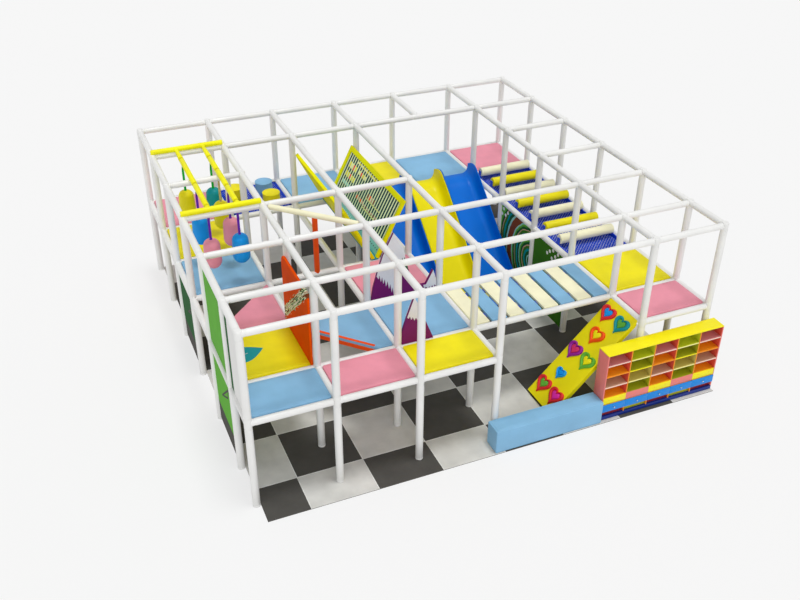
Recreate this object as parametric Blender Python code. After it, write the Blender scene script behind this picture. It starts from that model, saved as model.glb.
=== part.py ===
"""Indoor soft playground: a padded tube frame on floor mats, with decks, slides, rollers, nets and bags.

Metres, +Z up. X runs along the front, Y from the front to the back, and the floor is z = 0.
Line i is the i-th row of posts from the left, row j the j-th row of posts from the front.
"""

import math

import bmesh
import bpy
from mathutils import Matrix, Vector

# Frame
BAY = 1.22
FRONT_BAY = 0.81
BAYS_WIDE = 6
BAYS_DEEP = 6
DECK_RAIL_Z = 1.452
TOP_RAIL_Z = 2.852
POST_WIDTH = 0.110
Y_RAIL_WIDTH = 0.104
X_RAIL_WIDTH = 0.100
SIDE_PANEL_THICK = 0.03
SIDE_PANEL_ABOVE_MAT = 0.02
GAP = 0.0003
SHARP_ANGLE = math.radians(50)

# Floor mats
MAT_THICK = 0.012
MAT_FRONT = 0.37
MAT_BACK = 0.06
MAT_RIGHT = 0.13

# Deck pads
PAD_THICK = 0.06
PAD_CORNER = 0.03
PAD_CROWN = 0.006
PAD_SHOULDER = 0.17

# Side of every cushion: how far it draws in, at a share of its height
CUSHION_SIDE = ((0.006, 0.0), (0.0, 0.2), (0.002, 0.5), (0.0, 0.7), (0.010, 0.94), (0.035, 1.0))

# Plank bridge
PLANKS = 8
PLANK_GAP = 0.045
PLANK_THICK = 0.05
BEARER_WIDTH = 0.08
BEARER_THICK = 0.03
BEARER_FROM_ROW = 0.30
BEARER_LAP = 0.004

# Climbing hole in a deck
HOLE_SIDE_X = 0.89
HOLE_SIDE_Y = 0.94
HOLE_EDGE_THICK = 0.05
HOLE_EDGE_DEPTH = 0.13
HOLE_EDGE_ABOVE = 0.002
HOLE_PAD_SHOULDER = 0.06

# Net with stumps
NET_THICK = 0.012
NET_BORDER = 0.05
NET_CORD = 0.035
NET_DECK_HOLES = 5
STUMP_RADIUS = 0.16
STUMP_HEIGHT = 0.24
STUMP_EDGE = 0.02
STUMP_PLACES = ((0.69, 0.64), (0.69, 0.22), (0.22, 0.60))

# Rollers
ROLLERS = 7
ROLLER_PITCH = 0.494
ROLLER_FIRST = 0.18
ROLLER_RADIUS = 0.085
ROLLER_RISE = 0.12
ROLLER_EDGE = 0.014
AXLE_RADIUS = 0.020
AXLE_PLAY = 0.004
BED_BOARD = 0.018
BED_SIDE_BELOW = 0.03
BED_SIDE_ABOVE = 0.03
BED_TOOTH_ABOVE = 0.01
BED_TOOTH_HALVES = (0.05, 0.03)
BED_NET_BELOW = 0.02
BED_HOLES_ACROSS = 3
BED_HOLES_ALONG = 9

# Punch bags on their gantry
GANTRY_RADIUS = 0.03
BAG_BAR_RADIUS = 0.028
GANTRY_END_SHORT = 0.035
GANTRY_BAR_AT = (0.40, 0.85)
BAG_RADIUS = 0.125
BAG_END_ANGLES = (18, 50, 90)
BAG_LENGTH = 0.50
BAG_DROP = 0.56
STRAP_WIDTH = 0.035
STRAP_THICK = 0.008
STRAP_INSET = 0.002
STRAP_SUNK = 0.02
LOOP_PLAY = 0.004

# V shaped net crossing
NET_WALL_THICK = 0.04
NET_WALL_BORDER = 0.09
NET_WALL_TOP_Z = 2.472
NET_WALL_SLOT = 0.12
NET_WALL_HOLES_ALONG = 12
NET_WALL_HOLES_UP = 3
NET_WALL_CORD = 0.04
NET_WALL_STRIP = 0.02
NET_WALL_CLEAR = 0.002
NET_WALL_OVER_RAILS = 0.03
NET_WALL_LAP_MORE = 0.01

# Slides
SLIDE_LANES = 3
SLIDE_PITCH = 0.732
SLIDE_LANE_GAP = 0.008
SLIDE_FROM_POSTS = 0.03
SLIDE_SHELL = 0.02
SLIDE_WALL = 0.27
SLIDE_SLOPE = math.radians(40)
SLIDE_TOP_RADIUS = 0.5
SLIDE_FOOT_RADIUS = 1.0
SLIDE_EXIT = 0.15
SLIDE_LIP = 0.018
SLIDE_HEAD_LEVEL = 0.05
SLIDE_HEAD_HEIGHTS = (0.55, 0.85)
SLIDE_FOOT_HEIGHTS = (0.8, 0.45)
SLIDE_FLOOR_EDGE = 0.15
SLIDE_SIDE_EDGE = 0.06
SLIDE_SIDE_DRAFT = 0.015
SLIDE_SIDE_LOW = 0.10
SLIDE_SIDE_MIDDLE = 0.40

# Heart ramp
RAMP_SLOPE = math.radians(45.5)
RAMP_THICK = 0.075
RAMP_HEAD_OVER_RAIL = 0.01
HEART_RAISED = 0.035
HEART_POINTS = 14
HEART_SUNK = 0.01
HEART_SHOULDER = 0.6
HEART_TOP = 0.82

# Bench block
BENCH_LENGTH = 1.82
BENCH_DEPTH = 0.30
BENCH_HEIGHT = 0.40
BENCH_CROWN = 0.008
BENCH_SHOULDER = 0.10
BENCH_CORNER = 0.02
BENCH_FROM_SHELF = 0.003

# Shoe shelf
SHELF_WIDTH = 2.10
SHELF_DEPTH = 0.25
SHELF_HEIGHT = 1.22
SHELF_RIGHT = 0.12
SHELF_BEHIND = 0.004
SHELF_BOARD = 0.018
SHELF_LAP = 0.002
SHELF_COLUMNS = 5
SHELF_PLINTH = 0.065
SHELF_LOW_ROW = 0.085
SHELF_LOW_DEPTH = 0.03
DRAWER_ROW = 0.13
SHELF_FRONT_BAND = 0.12
CUBBY_ROWS = 4
DRAWER_FRONT = 0.016
DRAWER_WALL = 0.010
DRAWER_PLAY = 0.004
DRAWER_SHORT = 0.01
DRAWER_FRONT_PLAY = 0.001
KNOB_RADIUS = 0.012
KNOB_LENGTH = 0.02
KNOB_SUNK = 0.004
# Shape of a knob: shares of its radius and of its length
KNOB_SHAPE = ((0.6, 0.4), (1.0, 0.6), (0.7, 1.0))

# Padded pieces of the tower
MOUNTAIN_THICK = 0.05
ORANGE_WALL_THICK = 0.04
ORANGE_WALL_HEIGHT = 1.18
ORANGE_WALL_CORNER = 0.15
ORANGE_WALL_CLEAR = 0.002
ORANGE_COLUMN_WIDTH = 0.09
ORANGE_COLUMN_TOP_Z = 2.512
ORANGE_COLUMN_FROM_LINE = 0.82
BEAM_WIDTH = 0.09

# Values worked out from those above
DEPTH = FRONT_BAY + (BAYS_DEEP - 1) * BAY
DECK_TOP_Z = DECK_RAIL_Z + X_RAIL_WIDTH / 2
POST_TOP_Z = TOP_RAIL_Z + POST_WIDTH / 2
STAND_Z = MAT_THICK + GAP
LAST_LINE = BAYS_WIDE
LAST_ROW = BAYS_DEEP

# Which posts and rails the frame has: rows with a post on each line, and spans between lines in each row
ALL_ROWS = tuple(range(7))
NO_ROW_4 = (0, 1, 2, 3, 5, 6)
POST_ROWS = (ALL_ROWS, ALL_ROWS, NO_ROW_4, NO_ROW_4, (6,), ALL_ROWS, ALL_ROWS)
OPEN_MIDDLE = ((0, 1), (1, 2), (2, 3), (3, 5), (5, 6))
EVERY_BAY = tuple((i, i + 1) for i in range(6))
TOP_SPANS = (
    OPEN_MIDDLE,
    OPEN_MIDDLE,
    OPEN_MIDDLE,
    ((0, 1), (1, 2), (2, 3), (5, 6)),
    ((0, 1), (5, 6)),
    OPEN_MIDDLE,
    EVERY_BAY,
)
DECK_SPANS = (
    ((0, 1), (1, 2), (2, 3), (5, 6)),
    OPEN_MIDDLE,
    OPEN_MIDDLE,
    ((0, 1), (1, 2), (2, 3)),
    ((0, 1),),
    OPEN_MIDDLE,
    EVERY_BAY,
)

# Colour of the deck pad in each cell (line, row)
DECK_PADS = {
    (0, 0): "light_blue",
    (1, 0): "pink",
    (2, 0): "yellow",
    (5, 0): "pink",
    (0, 1): "yellow",
    (2, 1): "light_blue",
    (5, 1): "yellow",
    (2, 2): "pink",
    (0, 3): "light_blue",
    (0, 4): "yellow",
    (0, 5): "pink",
    (2, 5): "light_blue",
    (3, 5): "yellow",
    (4, 5): "light_blue",
    (5, 5): "pink",
}

# Bags: colour, gantry bar, distance in front of row 5 in bays
BAGS = (
    ("yellow", 0, 0.393),
    ("sky_blue", 0, 1.246),
    ("pink", 0, 1.918),
    ("teal", 1, 0.467),
    ("yellow", 1, 0.918),
    ("pink", 1, 1.443),
    ("sky_blue", 1, 1.918),
)

# Hearts: distance up the ramp as a share of its length, distance behind the ramp's middle, width
HEARTS = (
    (0.13, -0.175, 0.31),
    (0.13, 0.175, 0.31),
    (0.29, 0.06, 0.21),
    (0.50, -0.17, 0.31),
    (0.50, 0.175, 0.31),
    (0.70, 0.04, 0.31),
    (0.89, -0.175, 0.31),
    (0.89, 0.175, 0.31),
)

# Mountain outlines: distance right of line 2 and height over the deck rail
FRONT_MOUNTAIN = ((0, 0), (0.50, 0), (0.40, 0.25), (0.30, 0.52), (0.19, 0.76), (0.08, 0.45), (0, 0.2))
BACK_MOUNTAIN = (
    (0, 0),
    (1.10, 0),
    (1.10, 0.16),
    (1.05, 0.35),
    (0.93, 0.12),
    (0.74, 0.12),
    (0.64, 0.42),
    (0.58, 0.62),
    (0.55, 0.82),
    (0.38, 1.14),
    (0.21, 0.80),
    (0.13, 0.57),
    (0.04, 0.25),
)

# Colours: red, green, blue as seen (0 to 255), roughness, metallic
FINISHES = {
    "white": (236, 236, 234, 0.45, 0.0),
    "light_blue": (135, 185, 225, 0.5, 0.0),
    "pink": (240, 150, 170, 0.5, 0.0),
    "yellow": (250, 235, 20, 0.45, 0.0),
    "cream": (245, 240, 200, 0.5, 0.0),
    "slide_blue": (0, 90, 200, 0.3, 0.0),
    "slide_yellow": (240, 230, 10, 0.3, 0.0),
    "sky_blue": (0, 140, 220, 0.45, 0.0),
    "teal": (0, 130, 140, 0.45, 0.0),
    "orange": (235, 80, 10, 0.45, 0.0),
    "purple": (110, 0, 100, 0.5, 0.0),
    "net_blue": (35, 60, 180, 0.6, 0.0),
    "mat_grey": (135, 132, 126, 0.8, 0.0),
    "shelf_yellow": (255, 245, 0, 0.4, 0.0),
    "drawer_blue": (20, 130, 230, 0.4, 0.0),
}


def clear_scene():
    """Remove every object that the scene starts with."""
    for obj in list(bpy.data.objects):
        bpy.data.objects.remove(obj, do_unlink=True)


def line_x(i):
    """X of post line i."""
    return (i - BAYS_WIDE / 2) * BAY


def row_y(j):
    """Y of post row j: the first bay is the short one."""
    behind_front_row = FRONT_BAY + (j - 1) * BAY if j else 0.0
    return behind_front_row - DEPTH / 2


def linear(level):
    """Linear light of a colour level as seen, 0 to 255."""
    share = level / 255
    return share / 12.92 if share <= 0.04045 else ((share + 0.055) / 1.055) ** 2.4


def material(finish):
    """The Principled material of a finish, made once."""
    found = bpy.data.materials.get(finish)
    if found:
        return found
    red, green, blue, roughness, metallic = FINISHES[finish]
    made = bpy.data.materials.new(finish)
    made.use_nodes = True
    shader = made.node_tree.nodes["Principled BSDF"]
    shader.inputs["Base Color"].default_value = (linear(red), linear(green), linear(blue), 1)
    shader.inputs["Roughness"].default_value = roughness
    shader.inputs["Metallic"].default_value = metallic
    return made


def shade(mesh):
    """Smooth shading, with edges kept sharp where faces turn by more than a set angle."""
    mesh.shade_smooth()
    mesh.set_sharp_from_angle(angle=SHARP_ANGLE)


def solid(name, shape, finish, origin=(0, 0, 0)):
    """An object of the bmesh, with its origin at the given place."""
    bmesh.ops.recalc_face_normals(shape, faces=shape.faces)
    bmesh.ops.translate(shape, verts=shape.verts, vec=-Vector(origin))
    mesh = bpy.data.meshes.new(name)
    shape.to_mesh(mesh)
    shape.free()
    mesh.materials.append(material(finish))
    shade(mesh)
    obj = bpy.data.objects.new(name, mesh)
    obj.location = origin
    bpy.context.collection.objects.link(obj)
    return obj


def fused(name, shapes, finish, origin=(0, 0, 0)):
    """One object that is the union of overlapping shapes."""
    body = solid(name, shapes[0], finish, origin)
    helpers = []
    for count, shape in enumerate(shapes[1:]):
        helper = solid(f"{name}_joined_{count}", shape, finish, origin)
        helper.hide_render = True
        helper.display_type = "WIRE"
        join = body.modifiers.new(helper.name, "BOOLEAN")
        join.operation = "UNION"
        join.solver = "EXACT"
        join.object = helper
        helpers.append(helper)
    bpy.context.view_layer.update()
    graph = bpy.context.evaluated_depsgraph_get()
    joined = bpy.data.meshes.new_from_object(body.evaluated_get(graph))
    body.modifiers.clear()
    body.data = joined
    joined.name = name
    shade(joined)
    for helper in helpers:
        bpy.data.objects.remove(helper, do_unlink=True)
    return body


def loft(rings, closed=False):
    """Rings of equal point counts joined in turn, capped at both ends unless the last joins the first."""
    shape = bmesh.new()
    loops = [[shape.verts.new(point) for point in ring] for ring in rings]
    pairs = list(zip(loops, loops[1:]))
    if closed:
        pairs.append((loops[-1], loops[0]))
    for low, high in pairs:
        for k in range(len(low)):
            after = (k + 1) % len(low)
            shape.faces.new((low[k], low[after], high[after], high[k]))
    if not closed:
        shape.faces.new(loops[0])
        shape.faces.new(loops[-1])
    return shape


def placed(axis, a, b, along):
    """The point (a, b) of an outline, at a distance along the axis it is extruded on."""
    return {"X": (along, a, b), "Y": (a, along, b), "Z": (a, b, along)}[axis]


def extruded(outline, axis, low, high):
    """The outline swept from low to high along an axis."""
    return loft([[placed(axis, a, b, level) for a, b in outline] for level in (low, high)])


def box(low, high):
    """A box between two corners."""
    outline = [(low[0], low[1]), (high[0], low[1]), (high[0], high[1]), (low[0], high[1])]
    return extruded(outline, "Z", low[2], high[2])


def circle(radius, sides, turned=0.5):
    """Corner offsets of a polygon whose flats lie a radius away from its centre."""
    corner = radius / math.cos(math.pi / sides)
    turns = [(k + turned) * 2 * math.pi / sides for k in range(sides)]
    return [(corner * math.cos(turn), corner * math.sin(turn)) for turn in turns]


def turned(profile, axis, centre, sides, closed=False):
    """The profile of (radius, place along the axis) points turned round an axis through the centre."""
    rings = []
    for radius, along in profile:
        ring = [placed(axis, a, b, along) for a, b in circle(radius, sides)]
        rings.append([Vector(point) + Vector(centre) for point in ring])
    return loft(rings, closed)


def seat_depth(a, b, width):
    """How far a tube's corner (a across, b up) stops from the axis of the level tube that it seats on."""
    clear = width / 2 + GAP
    on_slope = clear * math.sqrt(2) - abs(b)
    return max(clear, on_slope) if abs(b) < abs(a) else on_slope


def tube(start, end, width, short=0.0, seats_on=None):
    """An eight sided padded tube, ending short of its end point by a distance.

    seats_on is the width of a level tube that crosses the end: the end is then cut to seat on it.
    """
    start = Vector(start)
    end = Vector(end)
    ahead = (end - start).normalized()
    upright = abs(ahead.z) > 0.5
    side = Vector((1, 0, 0)) if upright else ahead.cross(Vector((0, 0, 1)))
    rise = ahead.cross(side) if upright else Vector((0, 0, 1))
    corners = circle(width / 2, 8)
    shape = bmesh.new()
    first = [shape.verts.new(start + side * a + rise * b) for a, b in corners]
    last = []
    for a, b in corners:
        back = seat_depth(a, b, seats_on) if seats_on else short
        last.append(shape.verts.new(end + side * a + rise * b - ahead * back))
    for k in range(8):
        after = (k + 1) % 8
        shape.faces.new((first[k], first[after], last[after], last[k]))
    shape.faces.new(first)
    # A seated end is three upright strips, so that each stays flat
    strips = ((0, 1, 2, 3), (0, 3, 4, 7), (4, 5, 6, 7)) if seats_on else (range(8),)
    for strip in strips:
        shape.faces.new([last[k] for k in strip])
    return shape


def inset(outline, distance):
    """A convex outline, anticlockwise, with every side moved in by a distance."""
    points = [Vector(point) for point in outline]
    moved = []
    for k, point in enumerate(points):
        before = (point - points[k - 1]).normalized()
        after = (points[(k + 1) % len(points)] - point).normalized()
        inward = Vector((-before.y - after.y, before.x + after.x))
        reach = distance / (1 + before.dot(after))
        moved.append(point + inward * reach)
    return moved


def clipped(outline, cut):
    """The outline with each corner cut off, a distance along both sides."""
    points = [Vector(point) for point in outline]
    result = []
    for k, point in enumerate(points):
        before = (point - points[k - 1]).normalized()
        after = (points[(k + 1) % len(points)] - point).normalized()
        result += [point - before * cut, point + after * cut]
    return result


def cushion(outline, bottom, top, crown=PAD_CROWN, corner=PAD_CORNER, shoulder=PAD_SHOULDER):
    """A padded slab over a convex outline: drawn-in sides, soft edges and a crown that starts at the shoulder."""
    height = top - bottom
    levels = [(distance, bottom + share * height) for distance, share in CUSHION_SIDE]
    levels.append((shoulder, top + crown))
    rings = []
    for distance, z in levels:
        ring = clipped(inset(outline, distance), corner)
        rings.append([(point.x, point.y, z) for point in ring])
    return loft(rings)


def rectangle(low_x, low_y, high_x, high_y):
    """A rectangle's corners, anticlockwise."""
    return [(low_x, low_y), (high_x, low_y), (high_x, high_y), (low_x, high_y)]


def hole_lines(low, high, border, bar, holes):
    """Where the sides of equal holes lie between low and high, with a border at the ends and bars between."""
    width = (high - low - 2 * border - (holes - 1) * bar) / holes
    lines = [low]
    for k in range(holes):
        start = low + border + k * (width + bar)
        lines += [start, start + width]
    return lines + [high]


def net_plate(lines_a, lines_b, low, high, axis="Z"):
    """A flat net: a plate between low and high along an axis, with a hole in every odd cell."""
    shape = bmesh.new()
    levels = [
        [[shape.verts.new(placed(axis, a, b, level)) for b in lines_b] for a in lines_a]
        for level in (low, high)
    ]
    cells = [(m, n) for m in range(len(lines_a) - 1) for n in range(len(lines_b) - 1)]
    solid_cells = {cell for cell in cells if not (cell[0] % 2 and cell[1] % 2)}
    sides = (((0, 0), (1, 0), (0, -1)), ((1, 0), (1, 1), (1, 0)), ((1, 1), (0, 1), (0, 1)), ((0, 1), (0, 0), (-1, 0)))
    for m, n in solid_cells:
        for grid in levels:
            shape.faces.new((grid[m][n], grid[m + 1][n], grid[m + 1][n + 1], grid[m][n + 1]))
        for (a0, b0), (a1, b1), (da, db) in sides:
            if (m + da, n + db) in solid_cells:
                continue
            wall = [levels[0][m + a0][n + b0], levels[0][m + a1][n + b1]]
            wall += [levels[1][m + a1][n + b1], levels[1][m + a0][n + b0]]
            shape.faces.new(wall)
    return shape


def make_floor_mat():
    """The floor mats as one slab. The left line of posts stands on the floor beside it."""
    low = (line_x(0) + POST_WIDTH / 2 + GAP, row_y(0) - MAT_FRONT, 0)
    high = (line_x(LAST_LINE) + MAT_RIGHT, row_y(LAST_ROW) + MAT_BACK, MAT_THICK)
    solid("floor_mat", box(low, high), "mat_grey")


def side_panel(i, j, low_z, high_z):
    """A padded panel in the plane of a line, between rows j and j + 1, let into the posts and rails."""
    half = SIDE_PANEL_THICK / 2
    return box((line_x(i) - half, row_y(j), low_z), (line_x(i) + half, row_y(j + 1), high_z))


def line_panels(i):
    """The closed panes of a line."""
    low = MAT_THICK + SIDE_PANEL_ABOVE_MAT
    if i == 0:
        upper = [side_panel(0, j, DECK_RAIL_Z, TOP_RAIL_Z) for j in (0, 1)]
        return upper + [side_panel(0, j, low, DECK_RAIL_Z) for j in (1, 3)]
    if i == 5:
        return [side_panel(5, j, low, DECK_RAIL_Z) for j in (2, 3)]
    return []


def orange_column():
    """A padded column that stands on the deck rail of row 3, beside line 1."""
    x = line_x(1) + ORANGE_COLUMN_FROM_LINE
    y = row_y(3)
    return tube((x, y, DECK_RAIL_Z), (x, y, ORANGE_COLUMN_TOP_Z), ORANGE_COLUMN_WIDTH)


def make_frame_line(i):
    """One line of posts with its two Y rails and the X rails that run on to the next line."""
    x = line_x(i)
    foot = 0.0 if i == 0 else STAND_Z
    shapes = [tube((x, row_y(j), foot), (x, row_y(j), POST_TOP_Z), POST_WIDTH) for j in POST_ROWS[i]]
    seats_on = X_RAIL_WIDTH if i == 4 else None
    front = 5 if i == 4 else 0
    for z in (DECK_RAIL_Z, TOP_RAIL_Z):
        shapes.append(tube((x, row_y(LAST_ROW), z), (x, row_y(front), z), Y_RAIL_WIDTH, seats_on=seats_on))
    if i == 1:
        shapes.append(orange_column())
    for z, spans in ((DECK_RAIL_Z, DECK_SPANS), (TOP_RAIL_Z, TOP_SPANS)):
        for j, row in enumerate(spans):
            for start, end in row:
                if start != i:
                    continue
                rail_end = (line_x(end), row_y(j), z)
                shapes.append(tube((x, row_y(j), z), rail_end, X_RAIL_WIDTH, POST_WIDTH / 2 + GAP))
    fused(f"frame_line_{i + 1}", shapes + line_panels(i), "white")


def cell_outline(i, j, to_i=None):
    """The clear opening of a deck cell inside its rails, over one or more bays."""
    beside = Y_RAIL_WIDTH / 2 + GAP
    before = X_RAIL_WIDTH / 2 + GAP
    right = line_x(i + 1 if to_i is None else to_i)
    return rectangle(line_x(i) + beside, row_y(j) + before, right - beside, row_y(j + 1) - before)


def make_deck_pads():
    """The square deck pads, each seated between four rails."""
    for (i, j), colour in DECK_PADS.items():
        pad = cushion(cell_outline(i, j), DECK_TOP_Z - PAD_THICK, DECK_TOP_Z)
        solid(f"deck_pad_{i + 1}_{j + 1}", pad, colour)


def make_triangle_pad():
    """The half deck beside the bags: its open corner is at the left and back."""
    corners = cell_outline(0, 2)
    pad = cushion(corners[:3], DECK_TOP_Z - PAD_THICK, DECK_TOP_Z)
    solid("deck_pad_1_3", pad, "pink")


def make_climb_hole_pad():
    """The deck with a three sided climbing hole at its front left corner, edged with a deep padded board."""
    (low_x, low_y), right_front, right_back, left_back = cell_outline(1, 1)
    on_front = Vector((low_x + HOLE_SIDE_X, low_y))
    on_left = Vector((low_x, low_y + HOLE_SIDE_Y))
    outline = [on_left, on_front, right_front, right_back, left_back]
    pad = cushion(outline, DECK_TOP_Z - PAD_THICK, DECK_TOP_Z, shoulder=HOLE_PAD_SHOULDER)
    ahead = (on_left - on_front).normalized()
    inward = Vector((ahead.y, -ahead.x))
    start = on_front + ahead * PAD_CORNER * 2
    end = on_left - ahead * PAD_CORNER * 2
    board = [start, start + inward * HOLE_EDGE_THICK, end + inward * HOLE_EDGE_THICK, end]
    top = DECK_TOP_Z + HOLE_EDGE_ABOVE
    edge = extruded([(point.x, point.y) for point in board], "Z", top - HOLE_EDGE_DEPTH, top)
    fused("deck_pad_2_2", [pad, edge], "light_blue")


def make_plank_bridge():
    """Planks across two bays on two bearers underneath."""
    low_x, low_y = cell_outline(3, 1, 5)[0]
    high_x, high_y = cell_outline(3, 1, 5)[2]
    pitch = (high_x - low_x) / PLANKS
    shapes = []
    for k in range(PLANKS):
        left = low_x + k * pitch + PLANK_GAP / 2
        right = low_x + (k + 1) * pitch - PLANK_GAP / 2
        shapes.append(box((left, low_y, DECK_TOP_Z - PLANK_THICK), (right, high_y, DECK_TOP_Z)))
    # The bearers reach a little into the planks, to be one body with them
    top = DECK_TOP_Z - PLANK_THICK + BEARER_LAP
    for middle in (row_y(1) + BEARER_FROM_ROW, row_y(2) - BEARER_FROM_ROW):
        low = (low_x, middle - BEARER_WIDTH / 2, top - BEARER_THICK)
        shapes.append(box(low, (high_x, middle + BEARER_WIDTH / 2, top)))
    fused("plank_bridge", shapes, "light_blue")


def make_net_deck():
    """A flat net in a deck cell, with three stepping stumps on it."""
    (low_x, low_y), _, (high_x, high_y), _ = cell_outline(1, 5)
    lines_x = hole_lines(low_x, high_x, NET_BORDER, NET_CORD, NET_DECK_HOLES)
    lines_y = hole_lines(low_y, high_y, NET_BORDER, NET_CORD, NET_DECK_HOLES)
    top = DECK_TOP_Z - NET_BORDER / 2
    shapes = [net_plate(lines_x, lines_y, top - NET_THICK, top)]
    profile = (
        (STUMP_RADIUS - STUMP_EDGE, top - NET_THICK / 2),
        (STUMP_RADIUS, top + STUMP_EDGE),
        (STUMP_RADIUS, top + STUMP_HEIGHT - STUMP_EDGE),
        (STUMP_RADIUS - STUMP_EDGE, top + STUMP_HEIGHT),
    )
    for right, behind in STUMP_PLACES:
        place = (line_x(1) + right * BAY, row_y(5) + behind * BAY, 0)
        shapes.append(turned(profile, "Z", place, 12))
    fused("net_deck", shapes, "net_blue")


def roller_place(k):
    """Y and Z of a roller's axle, counted from the back."""
    return row_y(5) - ROLLER_FIRST - k * ROLLER_PITCH, DECK_RAIL_Z + ROLLER_RISE


def bed_sides():
    """X of the roller bed's left and right faces, clear of the posts."""
    clear = POST_WIDTH / 2 + GAP
    return line_x(5) + clear, line_x(6) - clear


def make_roller_bed():
    """The rollers' bed: two toothed side boards, an axle for each roller and a net underneath."""
    left, right = bed_sides()
    front = row_y(2) + X_RAIL_WIDTH / 2 + GAP
    back = row_y(5) - X_RAIL_WIDTH / 2 - GAP
    low = DECK_RAIL_Z - BED_NET_BELOW - BED_SIDE_BELOW
    high = DECK_RAIL_Z + BED_SIDE_ABOVE
    outline = [(front, low), (back, low), (back, high)]
    for k in range(ROLLERS):
        y, z = roller_place(k)
        tooth = z + AXLE_RADIUS + BED_TOOTH_ABOVE
        root, tip = BED_TOOTH_HALVES
        outline += [(y + root, high), (y + tip, tooth), (y - tip, tooth), (y - root, high)]
    outline.append((front, high))
    shapes = [
        extruded(outline, "X", left, left + BED_BOARD),
        extruded(outline, "X", right - BED_BOARD, right),
    ]
    lines_x = hole_lines(left + BED_BOARD / 2, right - BED_BOARD / 2, NET_BORDER, NET_CORD, BED_HOLES_ACROSS)
    lines_y = hole_lines(front, back, NET_BORDER, NET_CORD, BED_HOLES_ALONG)
    net_z = DECK_RAIL_Z - BED_NET_BELOW
    shapes.append(net_plate(lines_x, lines_y, net_z - NET_THICK, net_z))
    for k in range(ROLLERS):
        y, z = roller_place(k)
        ends = ((AXLE_RADIUS, left + BED_BOARD / 2), (AXLE_RADIUS, right - BED_BOARD / 2))
        shapes.append(turned(ends, "X", (0, y, z), 8))
    fused("roller_bed", shapes, "net_blue")


def make_rollers():
    """Foam rollers, each loose on its axle."""
    left, right = bed_sides()
    start = left + BED_BOARD + AXLE_PLAY
    end = right - BED_BOARD - AXLE_PLAY
    bore = AXLE_RADIUS + AXLE_PLAY
    profile = (
        (bore, start),
        (ROLLER_RADIUS - ROLLER_EDGE, start),
        (ROLLER_RADIUS, start + ROLLER_EDGE),
        (ROLLER_RADIUS, end - ROLLER_EDGE),
        (ROLLER_RADIUS - ROLLER_EDGE, end),
        (bore, end),
    )
    for k in range(ROLLERS):
        y, z = roller_place(k)
        roller = turned(profile, "X", (0, y, z), 12, closed=True)
        colour = "yellow" if k % 2 else "cream"
        solid(f"roller_{k + 1}", roller, colour, ((start + end) / 2, y, z))


def gantry_z():
    """Height of the gantry bars' axes: they rest on the post tops."""
    return POST_TOP_Z + GAP + GANTRY_RADIUS


def make_bag_gantry():
    """Two cross bars on the posts of rows 3 and 5, with the two bars that carry the bags."""
    z = gantry_z()
    reach = POST_WIDTH / 2 - GANTRY_END_SHORT
    shapes = []
    for j in (3, 5):
        ends = ((GANTRY_RADIUS, line_x(0) - reach), (GANTRY_RADIUS, line_x(1) - reach))
        shapes.append(turned(ends, "X", (0, row_y(j), z), 8))
    for from_line in GANTRY_BAR_AT:
        ends = ((BAG_BAR_RADIUS, row_y(3)), (BAG_BAR_RADIUS, row_y(5)))
        shapes.append(turned(ends, "Y", (line_x(0) + from_line, 0, z), 8))
    fused("bag_gantry", shapes, "yellow")


def make_bags():
    """Punch bags, each on a strap whose loop goes round its gantry bar."""
    z = gantry_z()
    inner = BAG_BAR_RADIUS / math.cos(math.pi / 8) + LOOP_PLAY
    outer = inner + STRAP_THICK
    top = z - BAG_DROP
    bottom = top - BAG_LENGTH
    profile = []
    for degrees in BAG_END_ANGLES:
        turn = math.radians(degrees)
        profile.append((BAG_RADIUS * math.sin(turn), top - BAG_RADIUS * (1 - math.cos(turn))))
    profile += [(radius, bottom + top - height) for radius, height in reversed(profile)]
    for k, (colour, bar, before_row) in enumerate(BAGS):
        x = line_x(0) + GANTRY_BAR_AT[bar]
        y = row_y(5) - before_row * BAY
        half = STRAP_WIDTH / 2
        ring = ((inner, y - half), (outer, y - half), (outer, y + half), (inner, y + half))
        loop = turned(ring, "Y", (x, 0, z), 8, closed=True)
        bag = turned(profile, "Z", (x, y, 0), 10)
        thin = STRAP_THICK / 2
        side = half - STRAP_INSET
        strap = box((x - thin, y - side, top - STRAP_SUNK), (x + thin, y + side, z - (inner + outer) / 2))
        fused(f"bag_{k + 1}", [bag, strap, loop], colour, (x, y, z))


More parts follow.
